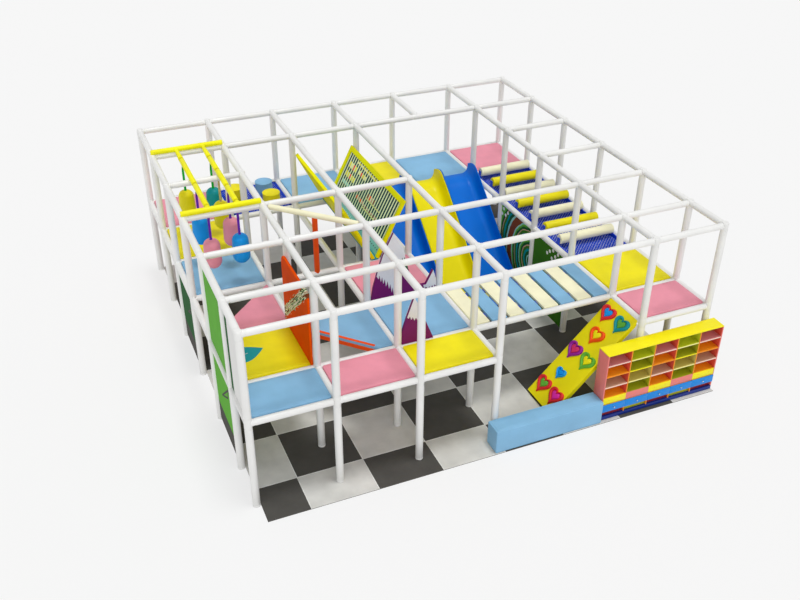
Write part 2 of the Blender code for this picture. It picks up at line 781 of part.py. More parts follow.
def make_net_wall(name, side):
    """One wall of the V: a bordered net that leans out from a slot at deck level to the post line."""
    middle = (line_x(2) + line_x(3)) / 2
    foot = Vector((NET_WALL_SLOT / 2, DECK_TOP_Z + GAP))
    head = Vector((BAY / 2 - POST_WIDTH / 2 - GAP, NET_WALL_TOP_Z))
    # Outer face from foot to head; the thickness lies inside and above it
    slope = (head - foot).normalized()
    inner = Vector((-slope.y, slope.x))
    width = (head - foot).length
    front = row_y(3) - NET_WALL_OVER_RAILS
    back = row_y(5) + NET_WALL_OVER_RAILS
    thick = NET_WALL_THICK
    ring = [
        [(0, front), (width, front), (width, back), (0, back)],
        [
            (NET_WALL_BORDER, front + NET_WALL_BORDER),
            (width - NET_WALL_BORDER, front + NET_WALL_BORDER),
            (width - NET_WALL_BORDER, back - NET_WALL_BORDER),
            (NET_WALL_BORDER, back - NET_WALL_BORDER),
        ],
    ]
    levels = ((ring[0], 0), (ring[0], thick), (ring[1], thick), (ring[1], 0))
    border = loft([[(a, b, level) for a, b in outline] for outline, level in levels], closed=True)
    lap = NET_WALL_BORDER / 2
    edge = lap + NET_WALL_LAP_MORE
    lines_a = hole_lines(lap, width - lap, edge, NET_WALL_CORD, NET_WALL_HOLES_UP)
    lines_b = hole_lines(front + lap, back - lap, edge, NET_WALL_CORD, NET_WALL_HOLES_ALONG)
    net = net_plate(lines_a, lines_b, (thick - NET_THICK) / 2, (thick + NET_THICK) / 2)
    place = Matrix(
        (
            (side * slope.x, 0, side * inner.x, middle + side * foot.x),
            (0, 1, 0, 0),
            (slope.y, 0, inner.y, foot.y),
            (0, 0, 0, 1),
        )
    )
    for shape in (border, net):
        shape.transform(place)
    shapes = [border, net]
    if side < 0:
        inside = NET_WALL_SLOT / 2 + thick * inner.x
        low = (middle - inside - NET_WALL_STRIP / 2, front, foot.y)
        shapes.append(box(low, (middle + inside - NET_WALL_CLEAR, back, foot.y + NET_WALL_STRIP)))
    fused(name, shapes, "yellow")


def slide_path():
    """Places down a slide as (distance from its head, height, slope): a crest arc, a straight and a run-out."""
    head_z = DECK_TOP_Z + GAP + SLIDE_SHELL
    foot_z = STAND_Z + SLIDE_SHELL
    places = [(0.0, head_z, 0.0)]
    y = SLIDE_HEAD_LEVEL
    for k in range(5):
        slope = SLIDE_SLOPE * k / 4
        along = y + SLIDE_TOP_RADIUS * math.sin(slope)
        places.append((along, head_z - SLIDE_TOP_RADIUS * (1 - math.cos(slope)), slope))
    crest, crest_z, _ = places[-1]
    arc_drop = SLIDE_FOOT_RADIUS * (1 - math.cos(SLIDE_SLOPE))
    straight = (crest_z - foot_z - arc_drop) / math.tan(SLIDE_SLOPE)
    middle = crest + straight + SLIDE_FOOT_RADIUS * math.sin(SLIDE_SLOPE)
    for k in range(6):
        slope = SLIDE_SLOPE * (1 - k / 5)
        along = middle - SLIDE_FOOT_RADIUS * math.sin(slope)
        places.append((along, foot_z + SLIDE_FOOT_RADIUS * (1 - math.cos(slope)), slope))
    places.append((middle + SLIDE_EXIT, foot_z, 0.0))
    return places


def slide_section(wall):
    """Points (across, up) round one cross section of a lane, whose walls rise by wall from its floor."""
    half = (SLIDE_PITCH - SLIDE_LANE_GAP) / 2
    shell = SLIDE_SHELL
    inner = half - shell
    right_in = [
        (inner - SLIDE_FLOOR_EDGE, 0.0),
        (inner - SLIDE_SIDE_EDGE, SLIDE_SIDE_LOW * wall),
        (inner - SLIDE_SIDE_DRAFT, SLIDE_SIDE_MIDDLE * wall),
        (inner, wall),
    ]
    right_out = [
        (half, wall),
        (half - SLIDE_SIDE_DRAFT, SLIDE_SIDE_MIDDLE * wall - shell / 2),
        (half - SLIDE_SIDE_EDGE, SLIDE_SIDE_LOW * wall - shell),
        (inner - SLIDE_FLOOR_EDGE + shell / 2, -shell),
    ]
    left_in = [(-a, b) for a, b in reversed(right_in)]
    left_out = [(-a, b) for a, b in reversed(right_out)]
    return left_in + right_in + right_out + left_out


def make_slides():
    """Three slide lanes side by side, from the back deck down to the mat."""
    places = slide_path()
    full = len(places) - len(SLIDE_HEAD_HEIGHTS) - len(SLIDE_FOOT_HEIGHTS)
    heights = [*SLIDE_HEAD_HEIGHTS, *[1.0] * full, *SLIDE_FOOT_HEIGHTS]
    for k in range(SLIDE_LANES):
        centre = line_x(5) - POST_WIDTH / 2 - SLIDE_FROM_POSTS - (SLIDE_LANES - k - 0.5) * SLIDE_PITCH
        rings = []
        for (along, z, slope), share in zip(places, heights):
            ring = []
            for across, up in slide_section(SLIDE_WALL * share):
                y = row_y(5) + SLIDE_LIP - along - up * math.sin(slope)
                ring.append((centre + across, y, z + up * math.cos(slope)))
            rings.append(ring)
        colour = "slide_yellow" if k == 1 else "slide_blue"
        solid(f"slide_lane_{k + 1}", loft(rings), colour)


def heart(size, points):
    """A heart outline from the usual sine and cosine sums, its point down."""
    outline = []
    for k in range(points):
        t = 2 * math.pi * k / points
        across = 16 * math.sin(t) ** 3
        up = 13 * math.cos(t) - 5 * math.cos(2 * t) - 2 * math.cos(3 * t) - math.cos(4 * t)
        outline.append((across * size / 32, up * size / 32))
    return outline


def make_heart_ramp():
    """A padded ramp that leans on the deck rail of line 5, with raised hearts to climb on."""
    up = Vector((math.cos(RAMP_SLOPE), 0, math.sin(RAMP_SLOPE)))
    out = Vector((-math.sin(RAMP_SLOPE), 0, math.cos(RAMP_SLOPE)))
    clear = POST_WIDTH / 2 + GAP
    low_y = row_y(0) + clear
    high_y = row_y(1) - clear
    head_z = DECK_RAIL_Z + RAMP_HEAD_OVER_RAIL
    head = Vector((line_x(5) - Y_RAIL_WIDTH / 2 - GAP, (low_y + high_y) / 2, head_z))
    length = (head_z - STAND_Z - RAMP_THICK * out.z) / up.z
    toe = head - up * length
    heel = toe - out * RAMP_THICK
    side = [(head.x, head.z), (toe.x, toe.z), (heel.x, heel.z), (head.x, head.z - RAMP_THICK / out.z)]
    shapes = [extruded(side, "Y", low_y, high_y)]
    for share, behind, width in HEARTS:
        centre = toe + up * length * share + Vector((0, behind, 0))
        rings = []
        for size, raised in (
            (width, -HEART_SUNK),
            (width, HEART_SHOULDER * HEART_RAISED),
            (width * HEART_TOP, HEART_RAISED),
        ):
            ring = [centre + Vector((0, -a, 0)) + up * b + out * raised for a, b in heart(size, HEART_POINTS)]
            rings.append(ring)
        shapes.append(loft(rings))
    fused("heart_ramp", shapes, "yellow")


def shelf_box():
    """Left, right, front and back of the shoe shelf, which stands just in front of the first post row."""
    right = line_x(LAST_LINE) + SHELF_RIGHT
    back = row_y(0) - POST_WIDTH / 2 - SHELF_BEHIND
    return right - SHELF_WIDTH, right, back - SHELF_DEPTH, back


def make_bench_block():
    """The long soft block beside the shelf."""
    shelf_left, _, _, back = shelf_box()
    right = shelf_left - BENCH_FROM_SHELF
    outline = rectangle(right - BENCH_LENGTH, back - BENCH_DEPTH, right, back)
    top = STAND_Z + BENCH_HEIGHT
    block = cushion(outline, STAND_Z, top - BENCH_CROWN, BENCH_CROWN, BENCH_CORNER, BENCH_SHOULDER)
    solid("bench_block", block, "light_blue")


def shelf_heights():
    """Floor and ceiling of each row of openings: the low row, the drawers and the open cubbies."""
    low = STAND_Z + SHELF_PLINTH
    rows = [(low, low + SHELF_LOW_ROW)]
    drawer = low + SHELF_LOW_ROW + SHELF_BOARD
    rows.append((drawer, drawer + DRAWER_ROW - SHELF_BOARD))
    first = drawer + DRAWER_ROW + SHELF_FRONT_BAND
    top = STAND_Z + SHELF_HEIGHT
    pitch = (top - first) / CUBBY_ROWS
    rows += [(first + k * pitch, first + (k + 1) * pitch - SHELF_BOARD) for k in range(CUBBY_ROWS)]
    return rows


def make_shoe_shelf():
    """The shelf's carcass: a block with a pocket for every opening, closed at the back."""
    left, right, front, back = shelf_box()
    columns = hole_lines(left, right, SHELF_BOARD, SHELF_BOARD, SHELF_COLUMNS)
    levels = [STAND_Z]
    for low, high in shelf_heights():
        levels += [low, high]
    levels.append(STAND_Z + SHELF_HEIGHT)
    face = net_plate(columns, levels, front, back - SHELF_BOARD, "Y")
    panel = box((left, back - SHELF_BOARD - SHELF_LAP, STAND_Z), (right, back, STAND_Z + SHELF_HEIGHT))
    # The low row is only a shallow recess: a block fills the rest of its depth
    low, high = shelf_heights()[0]
    block_low = (left + SHELF_LAP, front + SHELF_LOW_DEPTH, low - SHELF_LAP)
    block = box(block_low, (right - SHELF_LAP, back - SHELF_LAP, high + SHELF_LAP))
    fused("shoe_shelf", [face, panel, block], "shelf_yellow")


def make_drawers():
    """One drawer in each column: a front with a knob, and an open tray behind it."""
    left, right, front, back = shelf_box()
    columns = hole_lines(left, right, SHELF_BOARD, SHELF_BOARD, SHELF_COLUMNS)
    low, high = shelf_heights()[1]
    wall = DRAWER_WALL
    for k in range(SHELF_COLUMNS):
        start = columns[2 * k + 1] + DRAWER_PLAY
        end = columns[2 * k + 2] - DRAWER_PLAY
        floor = low + DRAWER_PLAY
        rim = high - DRAWER_PLAY - DRAWER_SHORT
        rear = back - SHELF_BOARD - DRAWER_PLAY - DRAWER_SHORT
        outer = rectangle(start, front - DRAWER_FRONT / 2, end, rear)
        inner = rectangle(start + wall, front - DRAWER_FRONT / 2 + wall, end - wall, rear - wall)
        levels = ((outer, floor), (outer, rim), (inner, rim), (inner, floor + wall))
        tray = loft([[(a, b, z) for a, b in outline] for outline, z in levels])
        lap = SHELF_BOARD / 2
        face_low = (columns[2 * k + 1] - lap + DRAWER_FRONT_PLAY, front - GAP - DRAWER_FRONT, low - lap)
        face_high = (columns[2 * k + 2] + lap - DRAWER_FRONT_PLAY, front - GAP, high + lap)
        middle = (start + end) / 2
        knob_z = (low + high) / 2
        shank = front - GAP - DRAWER_FRONT
        profile = [(KNOB_RADIUS * wide, shank - KNOB_LENGTH * out) for wide, out in KNOB_SHAPE]
        profile.insert(0, (profile[0][0], shank + KNOB_SUNK))
        knob = turned(profile, "Y", (middle, 0, knob_z), 8)
        shapes = [box(face_low, face_high), tray, knob]
        fused(f"shelf_drawer_{k + 1}", shapes, "drawer_blue", (middle, front, knob_z))


def make_mountain_panels():
    """Padded cut-outs of mountains, standing on the deck rails of rows 1 and 2 between lines 2 and 3."""
    left = line_x(2) + POST_WIDTH / 2 + GAP
    bottom = DECK_TOP_Z + GAP
    half = MOUNTAIN_THICK / 2
    for j, shape in ((1, FRONT_MOUNTAIN), (2, BACK_MOUNTAIN)):
        outline = [(left + a, bottom + b) for a, b in shape]
        panel = extruded(outline, "Y", row_y(j) - half, row_y(j) + half)
        solid(f"mountain_panel_{j}", panel, "purple")


def make_orange_wall():
    """A padded wall on the left of line 1, between rows 1 and 2, with a round corner at the back."""
    right = line_x(1) - POST_WIDTH / 2 - GAP
    front = row_y(1)
    back = row_y(2)
    bottom = DECK_TOP_Z + ORANGE_WALL_CLEAR
    top = bottom + ORANGE_WALL_HEIGHT
    outline = [(front, bottom), (back, bottom)]
    for k in range(5):
        turn = math.radians(90 * k / 4)
        y = back - ORANGE_WALL_CORNER * (1 - math.cos(turn))
        outline.append((y, top - ORANGE_WALL_CORNER * (1 - math.sin(turn))))
    outline.append((front, top))
    solid("orange_wall", extruded(outline, "X", right - ORANGE_WALL_THICK, right), "orange")


def make_cream_beam():
    """A cream beam across one bay at the top rails, from line 1 row 3 to line 2 row 2."""
    # Its ends stop where the corners meet the rails on both sides of a post
    clear = BEAM_WIDTH / 2 + (Y_RAIL_WIDTH / 2 + GAP) * math.sqrt(2)
    start = Vector((line_x(1), row_y(3), TOP_RAIL_Z))
    end = Vector((line_x(2), row_y(2), TOP_RAIL_Z))
    ahead = (end - start).normalized()
    solid("cream_beam", tube(start + ahead * clear, end, BEAM_WIDTH, clear), "cream")


def main():
    clear_scene()
    make_floor_mat()
    for i in range(BAYS_WIDE + 1):
        make_frame_line(i)
    make_deck_pads()
    make_triangle_pad()
    make_climb_hole_pad()
    make_plank_bridge()
    make_net_deck()
    make_roller_bed()
    make_rollers()
    make_bag_gantry()
    make_bags()
    make_net_wall("net_wall_left", -1)
    make_net_wall("net_wall_right", 1)
    make_slides()
    make_heart_ramp()
    make_bench_block()
    make_shoe_shelf()
    make_drawers()
    make_mountain_panels()
    make_orange_wall()
    make_cream_beam()


main()
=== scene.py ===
"""Looks of the indoor soft playground: sleeves, vinyl pads, nets, slides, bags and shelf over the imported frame.

Metres, +Z up. Line i is the i-th row of posts from the left, row j the j-th row from the front.
Each surface is a grid of points worked out with numpy: rings joined in turn, or a profile carried along a path.
"""

import bmesh
import bpy
import numpy as np
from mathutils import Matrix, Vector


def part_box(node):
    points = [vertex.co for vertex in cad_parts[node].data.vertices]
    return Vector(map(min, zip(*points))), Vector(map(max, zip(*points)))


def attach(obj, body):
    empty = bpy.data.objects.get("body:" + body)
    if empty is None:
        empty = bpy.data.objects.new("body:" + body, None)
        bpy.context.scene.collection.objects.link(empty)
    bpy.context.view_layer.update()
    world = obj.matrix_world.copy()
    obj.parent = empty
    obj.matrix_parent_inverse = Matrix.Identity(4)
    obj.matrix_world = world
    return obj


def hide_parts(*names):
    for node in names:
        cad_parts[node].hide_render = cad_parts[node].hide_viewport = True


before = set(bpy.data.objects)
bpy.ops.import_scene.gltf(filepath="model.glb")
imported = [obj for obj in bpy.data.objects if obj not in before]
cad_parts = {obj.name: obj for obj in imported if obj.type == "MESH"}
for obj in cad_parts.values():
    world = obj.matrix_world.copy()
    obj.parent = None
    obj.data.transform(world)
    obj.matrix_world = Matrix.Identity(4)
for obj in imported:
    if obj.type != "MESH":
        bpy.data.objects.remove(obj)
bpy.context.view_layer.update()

BODY = "frame"
BAY = 1.22
LINE_X = (np.arange(7) - 3) * BAY
ROW_Y = np.concatenate([[0.0], 0.81 + BAY * np.arange(6)]) - 3.455
DECK_Z = 1.452
TOP_Z = 2.852
DECK_TOP = 1.502
POST_TOP = 2.907
POST_R, Y_RAIL_R, X_RAIL_R = 0.055, 0.052, 0.050
UP = np.array([0.0, 0.0, 1.0])
# Top of the floor squares, and the distance from a crossing to the pinch in each sleeve beside it
STAND_Z, PINCH = 0.0123, 0.085
# From the middle of a post or rail to the rim of a pane beside it
CLEAR = 0.045
# Half the thickness of a web hem, and the small gap left between a piece and the deck it stands on
HEM, GAP = 0.006, 0.0003
# The first lines where floor squares meet
FIRST_SEAMS = (LINE_X[0] + 0.55 * BAY, ROW_Y[0] + 0.24 * BAY)
# Nets: distance between cords, width and thickness of a cord
NET = (0.042, 0.025, 0.005)

ALL_ROWS = [0, 1, 2, 3, 4, 5, 6]
NO_ROW_4 = [0, 1, 2, 3, 5, 6]
POST_ROWS = (ALL_ROWS, ALL_ROWS, NO_ROW_4, NO_ROW_4, [6], ALL_ROWS, ALL_ROWS)
# Rails from line to line, by row
EVERY_BAY = tuple((i, i + 1) for i in range(6))
FRONT_THREE, LAST = EVERY_BAY[:3], EVERY_BAY[5:]
OPEN_MIDDLE = (*FRONT_THREE, (3, 5), *LAST)
TOP_SPANS = (OPEN_MIDDLE, OPEN_MIDDLE, OPEN_MIDDLE, FRONT_THREE + LAST, EVERY_BAY[:1] + LAST, OPEN_MIDDLE, EVERY_BAY)
DECK_SPANS = (FRONT_THREE + LAST, OPEN_MIDDLE, OPEN_MIDDLE, FRONT_THREE, EVERY_BAY[:1], OPEN_MIDDLE, EVERY_BAY)

# Deck pad colours by cell (line, row)
PADS = {
    (0, 0): "light_blue", (1, 0): "pink", (2, 0): "yellow", (5, 0): "pink",
    (0, 1): "yellow", (2, 1): "light_blue", (5, 1): "yellow",
    (2, 2): "pink", (0, 3): "light_blue", (0, 4): "yellow", (0, 5): "pink",
    (2, 5): "light_blue", (3, 5): "yellow", (4, 5): "light_blue", (5, 5): "pink",
}

# Colours as seen, 0 to 255
SEEN = {
    "white": (240, 240, 238),
    "light_blue": (136, 188, 224),
    "pink": (238, 152, 170),
    "yellow": (244, 230, 4),
    "cream": (252, 248, 212),
    "slide_blue": (0, 114, 218),
    "slide_yellow": (238, 226, 2),
    "sky_blue": (0, 152, 236),
    "teal": (0, 150, 158),
    "orange": (248, 84, 0),
    "purple": (120, 0, 102),
    "net_blue": (12, 68, 212),
    "mat_dark": (78, 76, 72),
    "mat_light": (214, 213, 208),
    "green": (98, 178, 54),
    "dark_green": (26, 92, 40),
    "brown": (128, 66, 34),
    "red": (224, 40, 46),
    "magenta": (226, 40, 170),
    "snow": (232, 230, 234),
    "lime": (196, 206, 40),
    "olive": (170, 172, 30),
    "salmon": (240, 132, 126),
    "shelf_orange": (246, 152, 24),
    "shelf_yellow": (255, 240, 0),
    "drawer_blue": (0, 138, 230),
    "plinth_blue": (18, 48, 140),
    "wine": (132, 30, 44),
    "silver": (208, 210, 214),
    "strap_green": (20, 196, 60),
    "strap_purple": (112, 44, 196),
    "strap_cream": (226, 206, 130),
    "pale_teal": (150, 210, 200),
    "deep_teal": (14, 74, 78),
    "cord_lime": (240, 250, 206),
    "mat_seam": (232, 232, 228),
    # The pad yellow made lighter: painted light, for the light that the wall borders and bag bars lack
    "yellow_painted_lit": (255, 248, 6),
    "forest": (58, 116, 22),
    "blush": (255, 222, 205),
    "pale_yellow": (255, 246, 160),
    "rose": (214, 130, 140),
    "tan": (208, 164, 136),
    "khaki": (204, 186, 100),
    "plum": (150, 24, 150),
    "rose_red": (214, 48, 104),
    "warm_red": (222, 84, 66),
}


def light_of(name, gain=1.0):
    """Linear light of a colour as seen: the usual 2.4 power curve of the screen, times a gain."""
    level = np.array(SEEN[name]) / 255
    linear = np.where(level <= 0.04045, level / 12.92, ((level + 0.055) / 1.055) ** 2.4)
    return (*np.clip(linear * gain, 0, 1), 1.0)


# ---------------------------------------------------------------- finishes


class Finish:
    """A material being made: its shader, and short words for adding nodes that read Object coordinates."""

    def __init__(self, name, roughness, **sockets):
        self.material = bpy.data.materials.new(name)
        self.material.use_nodes = True
        self.tree = self.material.node_tree
        self.shader = self.tree.nodes["Principled BSDF"]
        self.shader.inputs["Roughness"].default_value = roughness
        for socket, value in sockets.items():
            self.shader.inputs[socket.replace("_", " ")].default_value = value
        self.place = self.tree.nodes.new("ShaderNodeTexCoord").outputs["Object"]

    def node(self, kind, links=None, **settings):
        """A node with its plain sockets and properties set, and other outputs linked in."""
        made = self.tree.nodes.new("ShaderNode" + kind)
        for key, value in settings.items():
            if hasattr(made, key):
                setattr(made, key, value)
            else:
                made.inputs[key.replace("_", " ")].default_value = value
        for key, output in (links or {}).items():
            self.tree.links.new(output, made.inputs[key])
        return made

    def stretched(self, scale, turn=(0, 0, 0)):
        """Object coordinates scaled and turned."""
        made = self.node("Mapping", {"Vector": self.place})
        made.inputs["Scale"].default_value = scale
        made.inputs["Rotation"].default_value = turn
        return made.outputs[0]

    def noise(self, scale, detail, place=None):
        """Smooth noise from 0 to 1 with so many features a metre."""
        made = self.node("TexNoise", {"Vector": place or self.place}, Scale=scale, Detail=detail)
        return made.outputs["Fac"]

    def ramp(self, value, *stops, smooth=True):
        """A colour ramp: each stop is (place, colour)."""
        made = self.node("ValToRGB", {"Fac": value})
        made.color_ramp.interpolation = "LINEAR" if smooth else "CONSTANT"
        elements = made.color_ramp.elements
        while len(elements) < len(stops):
            elements.new(0.5)
        for element, (at, colour) in zip(elements, stops):
            element.position = at
            element.color = colour
        return made.outputs["Color"]

    def shaded(self, colour, scale, detail, dark, light, low=0.30, high=0.70):
        """A colour that drifts slowly between a darker and a lighter gain."""
        slow = self.noise(scale, detail)
        return self.ramp(slow, (low, light_of(colour, dark)), (high, light_of(colour, light)))

    def spread(self, value, low, high, first=0.0, last=1.0):
        """A value that runs from first to last, spread over low to high."""
        made = self.node("MapRange", {"Value": value})
        for socket, number in (("From Min", first), ("From Max", last), ("To Min", low), ("To Max", high)):
            made.inputs[socket].default_value = number
        return made.outputs[0]

    def sum_of(self, value, gain, more):
        """A value times a gain, plus another value."""
        made = self.node("Math", {0: value, 2: more}, operation="MULTIPLY_ADD")
        made.inputs[1].default_value = gain
        return made.outputs[0]

    def mixed(self, share, a, b, blend="MIX"):
        """Two colours mixed, each a colour or an output."""
        made = self.node("Mix", data_type="RGBA", blend_type=blend)
        for socket, value in ((made.inputs[0], share), (made.inputs[6], a), (made.inputs[7], b)):
            if hasattr(value, "links"):
                self.tree.links.new(value, socket)
            else:
                socket.default_value = value
        return made.outputs[2]

    def colour(self, output):
        """The colour of the surface."""
        self.tree.links.new(output, self.shader.inputs["Base Color"])

    def rough(self, scale, detail, low, high, place=None):
        """Roughness between two values, in patches."""
        patches = self.noise(scale, detail, place)
        self.tree.links.new(self.spread(patches, low, high), self.shader.inputs["Roughness"])

    def bumps(self, *layers):
        """Relief from (height output, strength, distance in metres) layers, one over the other."""
        normal = None
        for height, strength, distance in layers:
            links = {"Height": height}
            if normal:
                links["Normal"] = normal
            normal = self.node("Bump", links, Strength=strength, Distance=distance).outputs[0]
        self.tree.links.new(normal, self.shader.inputs["Normal"])

    def leather(self, dip=0.12):
        """Relief of coated fabric over foam: a fine cell grain and slow dips."""
        cells = self.node("TexVoronoi", {"Vector": self.place}, Scale=320.0).outputs["Distance"]
        self.bumps((cells, 0.10, 0.0008), (self.noise(14.0, 3.0), dip, 0.004))


def vinyl(colour, name=None, roughness=0.46, shade=0.90, shine=0.26):
    """Coated fabric over foam: fine leather grain, slow shade change, dull scuffs."""
    name = name or f"vinyl_{colour}"
    made = Finish(name, roughness, Coat_Weight=0.04, Coat_Roughness=0.35, Specular_IOR_Level=shine)
    made.colour(made.shaded(colour, 2.3, 4.0, shade, 1.03, high=0.68))
    made.rough(9.0, 6.0, roughness - 0.10, roughness + 0.14)
    made.leather()
    return made.material


def matt_vinyl(colour):
    """Vinyl of upright panes, dull enough to keep its colour when seen from low on."""
    return vinyl(colour, f"matt_{colour}", 0.65, shine=0.05)


def white_sleeve():
    """White foam sleeve: smooth coated skin, faint lengthwise creases and grey marks near the floor."""
    made = Finish("sleeve_white", 0.40, Coat_Weight=0.15, Coat_Roughness=0.30)
    skin = made.shaded("white", 1.7, 4.0, 0.93, 1.03)
    height = made.node("SeparateXYZ", {"Vector": made.place}).outputs["Z"]
    low = made.spread(height, 0.55, 0.0, 0.0, 0.35)
    marks = made.node("Math", {0: low, 1: made.noise(22.0, 8.0)}, operation="MULTIPLY")
    made.colour(made.mixed(marks.outputs[0], skin, light_of("mat_light", 0.75)))
    made.rough(6.0, 5.0, 0.30, 0.52)
    made.bumps((made.noise(210.0, 2.0), 0.06, 0.0006), (made.noise(9.0, 3.0), 0.10, 0.004))
    return made.material


def moulded(colour, name, roughness=0.28):
    """Rotation moulded plastic: glossy, a faint orange peel and sliding marks down the lane."""
    made = Finish(name, roughness, Coat_Weight=0.04, Coat_Roughness=0.15, IOR=1.49, Specular_IOR_Level=0.16)
    made.colour(made.shaded(colour, 1.4, 3.0, 0.92, 1.04))
    made.rough(5.0, 6.0, roughness - 0.06, roughness + 0.16, made.stretched((26.0, 1.0, 1.0)))
    made.bumps((made.noise(85.0, 2.0), 0.05, 0.002), (made.noise(5.0, 2.0), 0.08, 0.006))
    return made.material


def floor_foam(colour):
    """Closed cell foam floor square: dull, with a fine cross hatched tread and dust."""
    made = Finish(f"floor_{colour}", 0.80, Specular_IOR_Level=0.35)
    made.colour(made.shaded(colour, 3.1, 7.0, 0.86, 1.08, 0.28, 0.72))
    made.rough(12.0, 5.0, 0.70, 0.92)
    tread = []
    for turn in (0.785, -0.785):
        place = made.stretched((1, 1, 0), (0, 0, turn))
        wave = made.node("TexWave", {"Vector": place}, Scale=70.0, Distortion=1.5)
        tread.append((wave.outputs["Fac"], 0.16, 0.0010))
    made.bumps(*tread)
    return made.material


def webbing(colour):
    """Woven polyester band or braided cord: two crossing waves for the weave, dull with a little sheen."""
    made = Finish(f"webbing_{colour}", 0.70, Specular_IOR_Level=0.20)
    weave = []
    for turn in ((0.6, 0.6, 0.785), (-0.6, -0.6, -0.785)):
        place = made.stretched((1, 1, 1), turn)
        wave = made.node("TexWave", {"Vector": place}, Scale=430.0 / 6.28, Distortion=0.4)
        weave.append(wave.outputs["Color"])
    both = made.mixed(0.5, *weave, "MULTIPLY")
    shade = made.shaded(colour, 30.0, 4.0, 0.74, 1.08, 0.25, 0.75)
    made.colour(made.mixed(0.22, shade, both, "MULTIPLY"))
    made.bumps((both, 0.35, 0.0012))
    return made.material


def lacquer(colour):
    """Painted board: smooth satin lacquer with a faint roller texture and worn, slightly darker patches."""
    made = Finish(f"lacquer_{colour}", 0.34, Coat_Weight=0.05, Coat_Roughness=0.2, Specular_IOR_Level=0.30)
    base = made.shaded(colour, 3.7, 4.0, 0.93, 1.03, 0.25, 0.75)
    worn = made.spread(made.noise(55.0, 8.0), 0.0, 0.10)
    made.colour(made.mixed(worn, base, light_of(colour, 0.55)))
    made.rough(18.0, 5.0, 0.26, 0.48)
    made.bumps((made.noise(190.0, 3.0), 0.05, 0.0008))
    return made.material


def brushed_metal(colour):
    """Brushed metal of knobs and axles: fine rings of scratches."""
    made = Finish("knob_metal", 0.28, Metallic=1.0)
    made.colour(made.shaded(colour, 60.0, 3.0, 0.85, 1.0, 0.3, 0.7))
    scratched = made.stretched((1, 8, 1))
    made.rough(400.0, 2.0, 0.18, 0.42, scratched)
    made.bumps((made.noise(500.0, 2.0, scratched), 0.05, 0.0003))
    return made.material


def ringed_vinyl(name, middle, colours):
    """Vinyl printed with rings round a middle: the distance from it, a little bent by noise, cut into flat colours.

    Each ring is (colour, width), from the middle outwards.
    """
    made = Finish(name, 0.60, Specular_IOR_Level=0.08)
    from_middle = made.node("VectorMath", {0: made.place}, operation="SUBTRACT")
    from_middle.inputs[1].default_value = middle
    distance = made.node("VectorMath", {0: from_middle.outputs["Vector"]}, operation="LENGTH").outputs["Value"]
    bent = made.sum_of(made.noise(6.0, 2.0), 0.06, distance)
    starts = np.concatenate([[0], np.cumsum([width for _, width in colours])])
    stops = [(at / starts[-1], light_of(colour)) for at, (colour, _) in zip(starts, colours)]
    made.colour(made.ramp(made.spread(bent, 0, 1, 0, starts[-1]), *stops, smooth=False))
    made.leather(0.10)
    return made.material


def split_vinyl(name, axis, edge, below, above):
    """Dull vinyl in two colours that meet where a coordinate passes an edge."""
    made = Finish(name, 0.65, Specular_IOR_Level=0.05)
    along = made.node("SeparateXYZ", {"Vector": made.place}).outputs[axis]
    share = made.spread(along, 0, 1, edge - 0.002, edge + 0.002)
    made.colour(made.mixed(share, light_of(below), light_of(above)))
    made.leather(0.10)
    return made.material


def streaked_vinyl(colour):
    """Dull vinyl of the orange wall, with ragged streaks along a slanting line from its upper front to its lower back.

    Noise is stretched along that line and cut into flat colours, and shows only within a band about the line.
    """
    made = Finish(f"vinyl_{colour}_streaks", 0.65, Specular_IOR_Level=0.05)
    base = made.shaded(colour, 2.3, 4.0, 0.90, 1.03, high=0.68)
    measured = []
    for direction, gain in (((0, 0.656, 0.754), 16.0), ((0, 0.754, -0.656), 1.6)):
        distance = made.node("VectorMath", {0: made.place}, operation="DOT_PRODUCT")
        distance.inputs[1].default_value = direction
        scaled = made.node("Math", {0: distance.outputs["Value"]}, operation="MULTIPLY")
        scaled.inputs[1].default_value = gain
        measured.append((distance.outputs["Value"], scaled.outputs[0]))
    (across, fast), (_, slow) = measured
    drawn_out = made.node("CombineXYZ", {"X": fast, "Y": slow}).outputs[0]
    inks = ((0.0, "brown"), (0.40, "cream"), (0.47, "dark_green"), (0.52, "cream"), (0.58, "tan"), (0.64, "white"))
    streaks = made.ramp(made.noise(1.6, 1.0, drawn_out), *[(at, light_of(ink)) for at, ink in inks], smooth=False)
    ragged = made.sum_of(made.noise(3.0, 3.0, drawn_out), 0.16, across)
    off, on = (0, 0, 0, 1), (1, 1, 1, 1)
    band = made.ramp(made.spread(ragged, 0, 1, 0.10, 0.70), (0.0, off), (0.36, on), (0.64, off), smooth=False)
    made.colour(made.mixed(band, base, streaks))
    made.leather()
    return made.material


_finishes = {}


def finish(kind, colour):
    """The finish of a colour, made once."""
    key = (kind.__name__, colour)
    if key not in _finishes:
        _finishes[key] = kind(colour)
    return _finishes[key]


# ---------------------------------------------------------------- surfaces


def joined_rings(rows, cols, around=True, offset=0):
    """Quads between each row of a grid and the next; the last column joins the first where around is set."""
    here = np.arange(cols if around else cols - 1)
    after = (here + 1) % cols
    row = np.arange(rows - 1)[:, None] * cols + offset
    return np.stack([row + here, row + after, row + cols + after, row + cols + here], -1).reshape(-1, 4)


def welded(points, faces):
    """Points in one place become one point: a face that loses a corner becomes a triangle, or goes if it is a line."""
    points = np.asarray(points, float).reshape(-1, 3)
    _, first, same = np.unique(np.round(points, 6), axis=0, return_index=True, return_inverse=True)
    kept = []
    for face in same.reshape(-1)[np.asarray(faces)].tolist():
        corners = [v for k, v in enumerate(face) if v != face[k - 1]]
        if len(corners) > 2 and len(set(corners)) == len(corners):
            kept.append(corners)
    return points[first], kept


